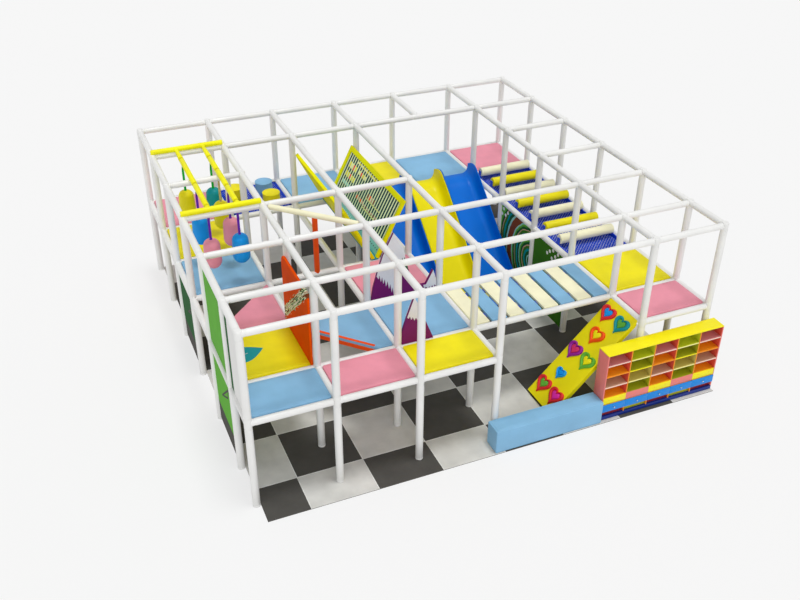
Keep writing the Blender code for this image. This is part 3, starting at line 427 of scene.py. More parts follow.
def piece(name, shapes, node=None, body=BODY, sharp=45):
    """One object from (points, faces, finish) shapes, each welded at its poles and seams.

    It stands for a CAD node if one is given, and that node is hidden.
    """
    points, faces, which, finishes = [], [], [], []
    count = 0
    for shape_points, shape_faces, shape_finish in shapes:
        shape_points, shape_faces = welded(shape_points, shape_faces)
        if shape_finish not in finishes:
            finishes.append(shape_finish)
        points.append(shape_points)
        faces += [[v + count for v in face] for face in shape_faces]
        which += [finishes.index(shape_finish)] * len(shape_faces)
        count += len(shape_points)
    mesh = bpy.data.meshes.new(name)
    mesh.from_pydata(np.concatenate(points).tolist(), [], faces)
    mesh.polygons.foreach_set("material_index", which)
    for one in finishes:
        mesh.materials.append(one)
    shown(mesh, node, body, sharp)


def shown(mesh, node, body, sharp):
    """A mesh becomes an object with its faces turned outwards, and rides on its body."""
    shape = bmesh.new()
    shape.from_mesh(mesh)
    bmesh.ops.triangulate(shape, faces=[face for face in shape.faces if len(face.verts) > 4])
    bmesh.ops.recalc_face_normals(shape, faces=shape.faces)
    shape.to_mesh(mesh)
    shape.free()
    mesh.shade_smooth()
    mesh.set_sharp_from_angle(angle=np.radians(sharp))
    obj = bpy.data.objects.new(mesh.name, mesh)
    bpy.context.collection.objects.link(obj)
    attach(obj, body)
    if node:
        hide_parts(node)


def box(node):
    """Low and high corner of a CAD node, and its middle."""
    low, high = map(np.array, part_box(node))
    return low, high, (low + high) / 2


def unit(vector):
    """A direction of length 1."""
    return np.asarray(vector, float) / np.linalg.norm(vector)


def round_bar(start, end, stations, sides=24):
    """A bar turned round the line from start to end: a ring of radius r at each distance s, stations being (s, r)."""
    start, end = np.asarray(start, float), np.asarray(end, float)
    ahead = unit(end - start)
    side = unit(np.cross(ahead, UP)) if abs(ahead[2]) < 0.9 else np.array([1.0, 0, 0])
    rise = np.cross(side, ahead)
    turn = 2 * np.pi * (np.arange(sides) + 0.5) / sides
    ring = np.cos(turn)[:, None] * side + np.sin(turn)[:, None] * rise
    along, radius = np.array(stations, float).T
    points = start + along[:, None, None] * ahead + radius[:, None, None] * ring
    return points.reshape(-1, 3), joined_rings(len(along), sides)


def sleeve(start, end, radius, joints=(), soft=0.006):
    """A foam sleeve: a bar with soft ends, pinched a little where two lengths of sleeve meet."""
    length = np.linalg.norm(np.subtract(end, start))
    stations = [(0, 0), (0, radius - soft), (soft, radius - 0.3 * soft), (2 * soft, radius)]
    for at in joints:
        pinch = ((-0.030, 0.0), (-0.009, 0.0012), (-0.003, 0.0040), (0.003, 0.0040), (0.009, 0.0012), (0.030, 0.0))
        stations += [(at + d, radius - deep) for d, deep in pinch]
    stations += [(length - at, r) for at, r in reversed(stations[:4])]
    return round_bar(start, end, stations)


def inset_ring(outline, inset, cut, arc, side):
    """A convex outline moved inwards, its corners rounded by a curve from a cut before to a cut after each.

    Each side has evenly spaced points between its corners, so that every ring has the same count.
    """
    outline = np.asarray(outline, float)
    before = outline - np.roll(outline, 1, 0)
    before /= np.linalg.norm(before, axis=1)[:, None]
    after = np.roll(before, -1, 0)
    inward = np.stack([-before[:, 1] - after[:, 1], before[:, 0] + after[:, 0]], -1)
    corner = outline + inward * (inset / (1 + (before * after).sum(1)))[:, None]
    enter, leave = corner - before * cut, corner + after * cut
    t = np.linspace(0, 1, arc)[None, :, None]
    curve = (1 - t) ** 2 * enter[:, None] + 2 * t * (1 - t) * corner[:, None] + t**2 * leave[:, None]
    s = np.linspace(0, 1, side + 2)[1:-1][None, :, None]
    straight = (1 - s) * leave[:, None] + s * np.roll(enter, -1, 0)[:, None]
    return np.concatenate([curve, straight], 1).reshape(-1, 2)


def slab(outline, profile, cut=0.03, arc=5, side=12):
    """A closed slab over a convex outline: a ring for each (inset, share of the way out from the middle, height)."""
    rings = []
    for inset, share, height in profile:
        ring = inset_ring(outline, inset, max(cut - 0.4 * inset, 0.002), arc, side)
        centre = ring.mean(0)
        ring = centre + (ring - centre) * share
        rings.append(np.column_stack([ring, np.full(len(ring), height)]))
    points = np.stack(rings)
    return points, joined_rings(points.shape[0], points.shape[1])


def stuffed(bottom, top, crown, edge=0.012, shoulder=0.05):
    """Profile of a stuffed slab: rounded rim, a sewn groove just inside it, and a crown that rises to the middle."""
    wall = min(edge, 0.3 * (top - bottom))
    return (
        (edge, 0.0, bottom), (edge, 0.6, bottom), (edge, 1.0, bottom), (0.3 * edge, 1.0, bottom + 0.3 * wall),
        (0.0, 1.0, bottom + wall), (0.0008, 1.0, (bottom + top) / 2), (0.0, 1.0, top - wall),
        (0.3 * edge, 1.0, top - 0.3 * wall), (edge, 1.0, top - 0.0004),
        (edge + 0.006, 1.0, top), (edge + 0.009, 1.0, top - 0.0026), (edge + 0.012, 1.0, top + 0.0002),
        (shoulder, 1.0, top + 0.35 * crown), (shoulder, 0.85, top + 0.70 * crown),
        (shoulder, 0.6, top + 0.92 * crown), (shoulder, 0.3, top + crown), (shoulder, 0.0, top + crown),
    )


def rectangle(low, high):
    """Four corners between two."""
    return [(low[0], low[1]), (high[0], low[1]), (high[0], high[1]), (low[0], high[1])]


def turned_to(points, origin, a, b, c):
    """Points (a, b, c) laid out along three directions from an origin."""
    points = np.asarray(points, float).reshape(-1, 3)
    return np.asarray(origin, float) + points @ np.array([a, b, c], float)


def board(low, high, skin, edge=0.003):
    """A board between two corners, its rims eased by a small radius, as a shape of a piece."""
    low, high = np.asarray(low, float), np.asarray(high, float)
    size = high - low
    edge = min(edge, 0.3 * size.min())
    thin = int(np.argmin(size))
    flat = [k for k in range(3) if k != thin]
    rim = ((edge, 0.0, 0.0), (edge, 1.0, 0.0), (0.3 * edge, 1.0, 0.3 * edge), (0.0, 1.0, edge))
    profile = [(a, b, low[thin] + c) for a, b, c in rim] + [(a, b, high[thin] - c) for a, b, c in reversed(rim)]
    points, faces = slab(rectangle(low[flat], high[flat]), profile, cut=0.004, arc=3, side=2)
    placed = np.empty((points.size // 3, 3))
    placed[:, (*flat, thin)] = points.reshape(-1, 3)
    return placed, faces, skin


def stacked(ring, levels, middle=None):
    """An outline repeated at each (share of the way out from its middle, height)."""
    middle = ring.mean(0) if middle is None else middle
    return np.stack([np.column_stack([middle + (ring - middle) * s, np.full(len(ring), z)]) for s, z in levels])


def ribbon(path, across, normal, width, thick, sides=6):
    """A flat cord: a flattened ring carried along a path of points, with closed ends."""
    path = np.asarray(path, float)
    turn = 2 * np.pi * (np.arange(sides) + 0.5) / sides
    ring = np.cos(turn)[:, None] * np.asarray(across) * width / 2
    ring = ring + np.sin(turn)[:, None] * np.asarray(normal) * thick / 2
    body = path[:, None] + ring[None]
    ends = [np.repeat(path[k][None, None], sides, 1) for k in (0, -1)]
    points = np.concatenate([ends[0], body, ends[1]])
    return points.reshape(-1, 3), joined_rings(len(points), sides)


def merged(shapes):
    """Several (points, faces) shapes as one."""
    points, faces, count = [], [], 0
    for shape_points, shape_faces in shapes:
        shape_points = np.asarray(shape_points, float).reshape(-1, 3)
        points.append(shape_points)
        faces.append(np.asarray(shape_faces) + count)
        count += len(shape_points)
    return np.concatenate(points), np.concatenate(faces)


def knotted_net(width, height, pitch, cord, thick):
    """A diamond net over a rectangle: two sets of flat cords at 45 degrees that pass over and under each other.

    A cord runs along a + b = c or a - b = c, for c spaced so that the cords lie a pitch apart, and rises and
    falls by half its thickness from one crossing to the next.
    """
    step = pitch * np.sqrt(2)
    shapes = []
    for slope in (1, -1):
        for count, c in enumerate(np.arange(-height + step / 2, width, step)):
            low, high = max(0.0, -c), min(height, width - c)
            if high - low < 0.4 * pitch:
                continue
            b = np.append(np.arange(low, high, step / 2), high)
            a = c + b
            if slope < 0:
                a = width - a
            wave = slope * np.where((np.arange(len(b)) + count) % 2, 1, -1) * thick * 0.4
            path = np.column_stack([a, b, wave])
            across = unit((1, -slope, 0))
            shapes.append(ribbon(path, across, (0, 0, 1), cord, thick))
    return merged(shapes)


def heart(points):
    """Heart outline, point down, about 1 wide: the usual sums of sines and cosines."""
    t = 2 * np.pi * np.arange(points) / points
    across = 16 * np.sin(t) ** 3
    rise = 13 * np.cos(t) - 5 * np.cos(2 * t) - 2 * np.cos(3 * t) - np.cos(4 * t)
    return np.column_stack([across, rise]) / 32


# ---------------------------------------------------------------- floor and frame


def make_floor():
    """Foam squares on one slab: a height grid with grooves along the lines where squares meet."""
    low, high, middle = box("floor_mat")
    lines, dips, odd, narrow = [], [], [], []
    for axis, first in enumerate(FIRST_SEAMS):
        seams = first + np.arange(-1, 9.0)
        seams = seams[(seams > low[axis] + 0.02) & (seams < high[axis] - 0.02)]
        grooves = (seams[:, None] + np.array([-0.006, -0.002, 0.002, 0.006])).reshape(-1)
        line = np.concatenate([[low[axis], low[axis] + 0.003], grooves, [high[axis] - 0.003, high[axis]]])
        k = np.arange(len(grooves)) % 4
        gap = np.diff(line) < 0.0045
        gap[[0, -1]] = False
        lines.append(line)
        dips.append(np.concatenate([[0.003, 0], np.where((k == 1) | (k == 2), 0.0035, 0.0), [0, 0.003]]))
        odd.append(np.floor((line[:-1] + line[1:]) / 2 - first).astype(int))
        narrow.append(gap)
    upper = np.stack([*np.meshgrid(*lines, indexing="ij"), high[2] - np.maximum(dips[0][:, None], dips[1])], -1)
    faces = joined_rings(*upper.shape[:2], around=False)
    dark = ((odd[0][:, None] + odd[1]) % 2 == 0).reshape(-1)
    seam = (narrow[0][:, None] | narrow[1]).reshape(-1)
    shapes = []
    for chosen, colour in ((dark & ~seam, "mat_dark"), (~dark & ~seam, "mat_light"), (seam, "mat_seam")):
        shapes.append((upper, faces[chosen], finish(floor_foam, colour)))
    edge = np.concatenate([upper[:, 0], upper[-1, 1:], upper[-2::-1, -1], upper[0, -2:0:-1]])
    foot = edge * (1, 1, 0)
    for pair in ((edge, foot), (foot, np.tile((*middle[:2], 0), (len(edge), 1)))):
        shapes.append((np.stack(pair), joined_rings(2, len(edge)), finish(floor_foam, "mat_dark")))
    piece("floor_squares", shapes, "floor_mat", sharp=30)


def make_frame():
    """Each line's posts and rails as round foam sleeves, with a pinch on both sides of each crossing."""
    white = white_sleeve()
    foot_pad = vinyl("white", "foot_collar", 0.5, 0.8)
    collar = [(0, 0), (0, 0.050), (0.004, 0.0562), (0.030, 0.0562), (0.034, 0.0545), (0.034, 0)]
    for i, x in enumerate(LINE_X):
        foot = 0.0 if i == 0 else STAND_Z
        shapes = []
        for y in ROW_Y[POST_ROWS[i]]:
            pinches = (DECK_Z - PINCH - foot, DECK_Z + PINCH - foot, TOP_Z - PINCH - foot)
            shapes.append((*sleeve((x, y, foot), (x, y, POST_TOP), POST_R, pinches, 0.012), white))
            shapes.append((*round_bar((x, y, foot), (x, y, 1), collar), foot_pad))
        # Line 5 has rails only behind the row before last
        first, start = (5, ROW_Y[5] + CLEAR) if i == 4 else (0, ROW_Y[0])
        pinches = [y - start + side for y in ROW_Y[first:] for side in (-PINCH, PINCH)]
        pinches = [at for at in pinches if 0.06 < at < ROW_Y[6] - start - 0.06]
        for z, spans in ((DECK_Z, DECK_SPANS), (TOP_Z, TOP_SPANS)):
            shapes.append((*sleeve((x, start, z), (x, ROW_Y[6], z), Y_RAIL_R, pinches), white))
            for y, row in zip(ROW_Y, spans):
                for b in (b for a, b in row if a == i):
                    inner = [c * BAY + side for c in range(1, b - i) for side in (-PINCH, PINCH)]
                    bar = sleeve((x, y, z), (LINE_X[b] - Y_RAIL_R, y, z), X_RAIL_R, [PINCH, *inner])
                    shapes.append((*bar, white))
        piece(f"sleeves_line_{i + 1}", shapes, f"frame_line_{i + 1}")
    x, y = LINE_X[1] + 0.82, ROW_Y[3]
    column = sleeve((x, y, DECK_Z), (x, y, 2.512), 0.045, (0.5,), 0.014)
    piece("orange_column", [(*column, finish(vinyl, "orange"))])


def panel(name, i, j, low_z, high_z, skin):
    """A padded pane between two posts of a line: a stuffed slab on edge, crowned on both faces."""
    half_a = (ROW_Y[j + 1] - ROW_Y[j]) / 2 - CLEAR
    half_b = (high_z - low_z) / 2
    face = (
        (0.0, 1.0, 0.005), (0.010, 1.0, 0.009), (0.020, 1.0, 0.012), (0.024, 1.0, 0.0095), (0.028, 1.0, 0.0122),
        (0.06, 1.0, 0.0135), (0.06, 0.8, 0.0148), (0.06, 0.4, 0.015), (0.06, 0.0, 0.015),
    )
    profile = [(a, b, -c) for a, b, c in reversed(face)] + list(face)
    points, faces = slab(rectangle((-half_a, -half_b), (half_a, half_b)), profile, cut=0.02)
    origin = (LINE_X[i], (ROW_Y[j] + ROW_Y[j + 1]) / 2, (low_z + high_z) / 2)
    piece(name, [(turned_to(points, origin, (0, 1, 0), UP, (1, 0, 0)), faces, skin)])


# The printed pane: (colour, width) of each ring, from the middle outwards
THIN_RINGS = (
    ("pale_teal", 0.02), ("dark_green", 0.06), ("teal", 0.04), ("forest", 0.06), ("tan", 0.02), ("dark_green", 0.05),
    ("green", 0.03),
)
WIDE_RING = (("pale_teal", 0.03), ("brown", 0.15), ("pale_teal", 0.03))
RINGS = (("forest", 0.16), *THIN_RINGS, *THIN_RINGS, *WIDE_RING, *THIN_RINGS)
# White dots on two panes of line 6: places across and up
DOTS = (
    (-0.72, 1.23), (-0.80, 1.30), (-0.88, 1.20), (-0.90, 1.36), (-0.98, 1.28), (-1.06, 1.36), (-1.10, 1.25),
    (-0.96, 1.16), (0.72, 1.32), (0.80, 1.24), (0.88, 1.34), (0.93, 1.22),
)


def make_panels():
    """The closed panes of lines 1 and 6, plain, in two colours or printed, with what is sewn on them."""
    low, under, over, head = 0.034, DECK_Z - CLEAR, DECK_Z + CLEAR, TOP_Z - CLEAR
    edged = split_vinyl("pane_white_green_edge", "Y", ROW_Y[1] - 0.20, "white", "dark_green")
    panel("pane_upper_front", 0, 0, over, head, edged)
    panel("pane_upper_second", 0, 1, over, head, finish(matt_vinyl, "green"))
    for name, j, colour in (("pane_lower_second", 1, "green"), ("pane_lower_fourth", 3, "dark_green")):
        label = "pane_green_dark_foot" if j == 1 else "pane_dark_green_foot"
        panel(name, 0, j, low, under, split_vinyl(label, "Z", 0.42, "mat_dark", colour))
    sewn_outline("pane_mark_1", [(-1.88, 0.78), (-2.38, 1.22), (-2.30, 1.02)])
    sewn_outline("pane_mark_2", [(0.43, 0.84), (0.11, 1.07), (0.17, 0.96)])
    panel("pane_rings_fourth", 5, 3, low, under, ringed_vinyl("pane_rings", (LINE_X[5], -0.20, 0.75), RINGS))
    panel("pane_dots_third", 5, 2, low, under, finish(matt_vinyl, "forest"))
    dots = []
    for y, z in DOTS:
        profile = [(0, 0), (0, 0.034), (0.0035, 0.032), (0.004, 0)]
        dot = round_bar((LINE_X[5] - 0.013, y, z), (LINE_X[5] - 1, y, z), profile, 18)
        dots.append((*dot, finish(vinyl, "white")))
    piece("pane_white_dots", dots)


def sewn_outline(name, corners):
    """A black outline with three corners, given as places across and up, sewn on the outside of a left hand pane."""
    corners = [np.array((LINE_X[0] - 0.015, *corner)) for corner in corners]
    shapes = []
    for start, end in zip(corners, corners[1:] + corners[:1]):
        ahead = unit(end - start)
        path = [start - ahead * 0.012, end + ahead * 0.012]
        strip = ribbon(path, unit(np.cross(ahead, (1, 0, 0))), (1, 0, 0), 0.034, 0.004)
        shapes.append((*strip, finish(matt_vinyl, "mat_dark")))
    piece(name, shapes)


# ---------------------------------------------------------------- decks


def deck_pad(name, node, outline, bottom, colour):
    """A vinyl covered deck pad: stuffed slab with faint ripples that die out towards its middle."""
    points, faces = slab(outline, stuffed(bottom, DECK_TOP, 0.005))
    turn = 2 * np.pi * np.arange(points.shape[1]) / points.shape[1]
    ripple = 0.0007 * np.sin(14 * turn) + 0.0005 * np.sin(31 * turn + 1.0)
    points[:, :, 2] += np.array([0] * 11 + [1, 0.9, 0.5, 0.15, 0, 0])[:, None] * ripple
    piece(name, [(points, faces, finish(vinyl, colour))], node)


def make_pads():
    """The square pads, the half pad by the bags, the pad with the climbing hole, and a sewn leaf."""
    for (i, j), colour in PADS.items():
        node = f"deck_pad_{i + 1}_{j + 1}"
        low, high, _ = box(node)
        deck_pad(f"pad_{i + 1}_{j + 1}", node, rectangle(low, high), low[2], colour)
    low, high, _ = box("deck_pad_1_3")
    deck_pad("pad_half", "deck_pad_1_3", rectangle(low, high)[:3], low[2], "pink")
    low, high, _ = box("deck_pad_2_2")
    on_left, on_front = np.array((low[0], low[1] + 0.94)), np.array((low[0] + 0.89, low[1]))
    outline = [on_left, on_front, *rectangle(low, high)[1:]]
    deck_pad("pad_climb_hole", "deck_pad_2_2", outline, DECK_TOP - 0.06, "light_blue")
    ahead = unit(on_left - on_front)
    inward = np.array([ahead[1], -ahead[0]])
    half = np.linalg.norm(on_left - on_front) / 2 - 0.06
    points, faces = slab(rectangle((-half, -0.065), (half, 0.065)), stuffed(0.0, 0.046, 0.002, 0.010, 0.03), cut=0.015)
    origin = (*((on_left + on_front) / 2 + inward * 0.002), DECK_TOP + 0.003 - 0.065)
    points = turned_to(points, origin, (*ahead, 0), UP, (*inward, 0))
    piece("climb_hole_edge", [(points, faces, finish(vinyl, "orange"))])
    # A pointed leaf of teal vinyl sewn on the yellow pad, with a pale midrib
    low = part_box("deck_pad_1_2")[0]
    t = np.linspace(0, 1, 19)
    leaf = np.column_stack([0.57 * t, 0.1922 * np.sin(np.pi * t**0.8)])
    leaf = np.concatenate([leaf, leaf[-2:0:-1] * (1, -1)])
    rib = np.column_stack([0.10 + 0.22 * t, np.full(19, 0.004)])
    rib = np.concatenate([rib, rib[::-1] * (1, -1)])
    origin = (low[0] + 0.02, low[1] + 0.52, DECK_TOP + 0.001)
    for label, ring, rise, colour in (("leaf_patch", leaf, 0.0034, "teal"), ("leaf_patch_rib", rib, 0.0046, "snow")):
        points = stacked(ring, ((1, -0.002), (1, rise), (0.97, rise + 0.001), (0, rise + 0.001)))
        points = turned_to(points, origin, unit((1, 0.18, 0)), unit((-0.18, 1, 0)), UP)
        piece(label, [(points, joined_rings(4, len(ring)), finish(vinyl, colour))])


def make_planks():
    """Eight stuffed planks, blue and cream in turn from the right, on two webbing bearers."""
    low, high, _ = box("plank_bridge")
    count, gap = 8, 0.045
    pitch = (high[0] - low[0] + gap) / count
    profile = stuffed(DECK_TOP - 0.05, DECK_TOP - 0.002, 0.003, 0.010, 0.03)
    shapes = []
    for k in range(count):
        left = low[0] + k * pitch
        outline = rectangle((left, low[1]), (left + pitch - gap, high[1]))
        plank = slab(outline, profile, cut=0.012, side=14)
        shapes.append((*plank, finish(vinyl, "light_blue" if k % 2 else "cream")))
    for y in (ROW_Y[1] + 0.30, ROW_Y[2] - 0.30):
        bearer = (low[0], y - 0.04, low[2]), (high[0], y + 0.04, DECK_TOP - 0.046)
        shapes.append(board(*bearer, finish(webbing, "net_blue")))
    piece("bridge_planks", shapes, "plank_bridge")


def net_and_liner(low, high, level, inset):
    """A blue net between two corners, set in along x and y, and the white liner under it."""
    low, high, inset = low[:2], high[:2], np.array(inset)
    points, faces = knotted_net(*(high - low - 2 * inset), *NET)
    points = turned_to(points, (*(low + inset), level), (1, 0, 0), (0, 1, 0), UP)
    liner = (*(low + 0.01), level - 0.0085), (*(high - 0.01), level - 0.0045)
    return [(points, faces, finish(webbing, "net_blue")), board(*liner, finish(vinyl, "white"), 0.001)]


# Stumps: place right of line 2 and behind row 6 in bays, colour
STUMPS = ((0.69, 0.64, "light_blue"), (0.69, 0.22, "yellow"), (0.22, 0.60, "yellow"))


def make_net_deck():
    """The net deck with webbing hems, and three foam stumps: turned, with a piped rim and a domed top."""
    low, high, _ = box("net_deck")
    level = DECK_TOP - 0.031
    border = 0.05
    shapes = net_and_liner(low, high, level, (0.02, 0.02))
    for a, b in (
        (low[:2], (high[0], low[1] + border)), ((low[0], high[1] - border), high[:2]),
        (low[:2], (low[0] + border, high[1])), ((high[0] - border, low[1]), high[:2]),
    ):
        shapes.append(board((*a, level - HEM), (*b, level + HEM), finish(webbing, "net_blue")))
    piece("stump_net", shapes, "net_deck")
    radius, height = 0.16, 0.245
    profile = [
        (0, 0), (0, radius - 0.02), (0.006, radius - 0.006), (0.02, radius), (0.5 * height, radius + 0.003),
        (height - 0.03, radius), (height - 0.018, radius + 0.003), (height - 0.012, radius + 0.003),
        (height - 0.008, radius - 0.006), (height - 0.004, radius - 0.02), (height - 0.001, 0.6 * radius), (height, 0),
    ]
    for k, (right, behind, colour) in enumerate(STUMPS):
        x, y = LINE_X[1] + right * BAY, ROW_Y[5] + behind * BAY
        stump = round_bar((x, y, level), (x, y, level + 1), profile, 48)
        piece(f"stump_{k + 1}", [(*stump, finish(vinyl, colour))])


def make_rollers():
    """The roller bed: net, cheeks and axles, and a foam roller with a seam near each end on every axle."""
    low, high, _ = box("roller_bed")
    board_skin = finish(vinyl, "net_blue")
    cheek, hem = 0.018, 0.05
    level = DECK_Z - 0.026
    shapes = net_and_liner(low, high, level, (cheek, 0))
    for y in (low[1], high[1] - hem):
        ends = (low[0] + cheek, y, level - HEM), (high[0] - cheek, y + hem, level + HEM)
        shapes.append(board(*ends, finish(webbing, "net_blue")))
    sides = (low[0], high[0] - cheek)
    for x in sides:
        shapes.append(board((x, low[1], low[2]), (x + cheek, high[1], DECK_Z + 0.03), board_skin))
    axle = high[0] - low[0] - cheek
    for k in range(7):
        node = f"roller_{k + 1}"
        start, end, (_, y, z) = box(node)
        bar = round_bar((low[0] + cheek / 2, y, z), (high[0], y, z), [(0, 0), (0, 0.02), (axle, 0.02), (axle, 0)], 20)
        shapes.append((*bar, finish(brushed_metal, "silver")))
        for x in sides:
            shapes.append(board((x, y - 0.035, DECK_Z + 0.02), (x + cheek, y + 0.035, z + 0.03), board_skin))
        length = end[0] - start[0]
        radius = (end[2] - start[2]) / 2 * 0.999
        rim = [
            (0, 0.024), (0, 0.050), (0.001, radius - 0.012), (0.004, radius - 0.004), (0.012, radius - 0.0005),
            (0.030, radius), (0.034, radius - 0.0022), (0.038, radius),
        ]
        profile = rim + [(length - at, r) for at, r in reversed(rim)] + rim[:1]
        bar = round_bar((start[0], y, z), (end[0], y, z), profile, 40)
        piece(f"foam_{node}", [(*bar, finish(vinyl, "yellow" if k % 2 else "cream"))], node, node)
    piece("roller_bed_net", shapes, "roller_bed")


# ---------------------------------------------------------------- bags and net walls


def make_gantry():
    """Padded bars: thick foam sleeves, with a bare neck in each long bar where a bag's strap goes round it."""
    low, high, _ = box("bag_gantry")
    z = low[2] + 0.03
    # A lighter copy of the pad yellow: painted light
    skin = finish(vinyl, "yellow_painted_lit")
    thick, neck = 0.044, 0.028
    step = [(0.028, neck), (0.031, thick - 0.002), (0.036, thick)]
    bags = [box(f"bag_{k + 1}")[2] for k in range(7)]
    shapes = [(*sleeve((low[0], y, z), (high[0], y, z), thick), skin) for y in (ROW_Y[3], ROW_Y[5])]
    for x in (LINE_X[0] + 0.40, LINE_X[0] + 0.85):
        stations = [(0, 0), (0, neck)]
        for at in sorted(bag[1] - ROW_Y[3] for bag in bags if abs(bag[0] - x) < 0.1):
            stations += [(at - d, r) for d, r in reversed(step)] + [(at + d, r) for d, r in step]
        length = ROW_Y[5] - ROW_Y[3]
        stations += [(length, neck), (length, 0)]
        shapes.append((*round_bar((x, ROW_Y[3], z), (x, ROW_Y[5], z), stations), skin))
    piece("gantry_bars", shapes, "bag_gantry")


BAG_RADIUS, BAG_HEIGHT = 0.138, 0.5
# Colours of each bag and of its strap
BAG_LOOKS = (
    ("yellow", "strap_green"), ("sky_blue", "strap_purple"), ("pink", "strap_purple"), ("teal", "strap_green"),
    ("yellow", "strap_cream"), ("pink", "strap_purple"), ("sky_blue", "strap_purple"),
)


def bag_profile(radius, height):
    """(height, radius) up a bag: a half ball, a side that narrows by a twelfth, and a flatter rounded top."""
    turn = np.linspace(0, np.pi / 2, 13)
    bottom = np.column_stack([radius * (1 - np.cos(turn)), radius * np.sin(turn)])
    rise, shoulder = 0.72 * radius, 0.92 * radius
    t = np.linspace(0, 1, 12)[1:-1]
    wall = np.column_stack([radius + (height - rise - radius) * t, radius + (shoulder - radius) * t**1.5])
    crown = np.column_stack([height - rise + rise * np.sin(turn) ** 1.1, shoulder * np.cos(turn) ** 0.75])
    return np.concatenate([bottom, wall, crown])


def bag_strap(x, y, top, bar):
    """The loop of a bag's strap round the bar, and the band from the bag's top up to it.

    The band leaves its loop along the bar and turns a quarter of a circle on its way down.
    """
    turn = np.pi * np.linspace(-0.5, 1.5, 33)
    half, thin, reach = 0.0165, 0.0022, 0.0305 * 1.05
    outward = np.column_stack([np.cos(turn), np.zeros(33), np.sin(turn)])
    edges = ((0, -half), (2 * thin, -half), (2 * thin, half), (0, half))
    loop = np.stack([(x, y, bar) + outward * (reach + d) + (0, h, 0) for d, h in edges], 1)
    drop = np.linspace(top - 0.004, bar - reach - thin, 24)
    bend = np.pi / 2 * np.clip((drop[-1] - drop) / 0.20, 0, 1)
    flat = np.stack([np.sin(bend), np.cos(bend), 0 * bend], -1)[:, None]
    edge = np.stack([-np.cos(bend), np.sin(bend), 0 * bend], -1)[:, None]
    around = 2 * np.pi * (np.arange(8)[:, None] + 0.5) / 8
    band = flat * np.cos(around) * 0.021 + edge * np.sin(around) * 0.003
    band = band + np.column_stack([np.full(24, x), np.full(24, y), drop])[:, None]
    return (loop, joined_rings(33, 4)), (band, joined_rings(24, 8))


def make_bags():
    """Each bag: a turned shell, narrower at its top, gathered slightly at both ends, on a webbing strap."""
    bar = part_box("bag_gantry")[0][2] + 0.03
    profile = bag_profile(BAG_RADIUS, BAG_HEIGHT)
    s = profile[:, 0] / BAG_HEIGHT
    turn = 2 * np.pi * np.arange(36) / 36
    gather = 0.022 * np.exp(-(np.minimum(s, 1 - s) / 0.10) ** 2)[:, None] * np.cos(9 * turn)
    seat = [(0, 0), (0, 0.026), (0.006, 0.028), (0.014, 0.020), (0.016, 0)]
    for k, (colour, strap) in enumerate(BAG_LOOKS):
        node = f"bag_{k + 1}"
        low, _, (x, y, _) = box(node)
        top = low[2] + BAG_HEIGHT
        points, faces = round_bar((x, y, low[2]), (x, y, top), profile, 36)
        rings = points.reshape(len(profile), 36, 3)
        rings[:, :, :2] = (x, y) + (rings[:, :, :2] - (x, y)) * (1 - np.abs(gather))[:, :, None]
        patch = round_bar((x, y, top - 0.010), (x, y, top + 1), seat)
        loop, band = bag_strap(x, y, top, bar)
        woven = finish(webbing, strap)
        shell = rings, faces, finish(vinyl, colour)
        shapes = [shell, (*patch, woven), (*loop, finish(webbing, "yellow")), (*band, woven)]
        piece(f"punch_{node}", shapes, node, node)


# Tiles hooked in between slats of the right wall: from and to up the slope, from and to along it, colours in turn
TILES = (
    (0.76, 0.86, 1.93, 2.28, ("yellow", "orange", "pale_yellow")),
    (0.59, 0.68, 1.82, 2.27, ("yellow", "yellow", "orange")),
    (0.79, 0.86, 1.44, 1.86, ("pale_yellow", "yellow", "orange")),
    (0.45, 0.51, 1.90, 2.26, ("pale_teal", "pale_teal")),
    (0.44, 0.50, 1.20, 1.53, ("tan", "orange")),
    (0.60, 0.68, 0.86, 1.20, ("brown", "tan", "orange")),
    (0.44, 0.475, 0.60, 1.17, ("tan", "brown")),
    (0.93, 0.97, 1.07, 2.00, ("pale_yellow", "yellow")),
)


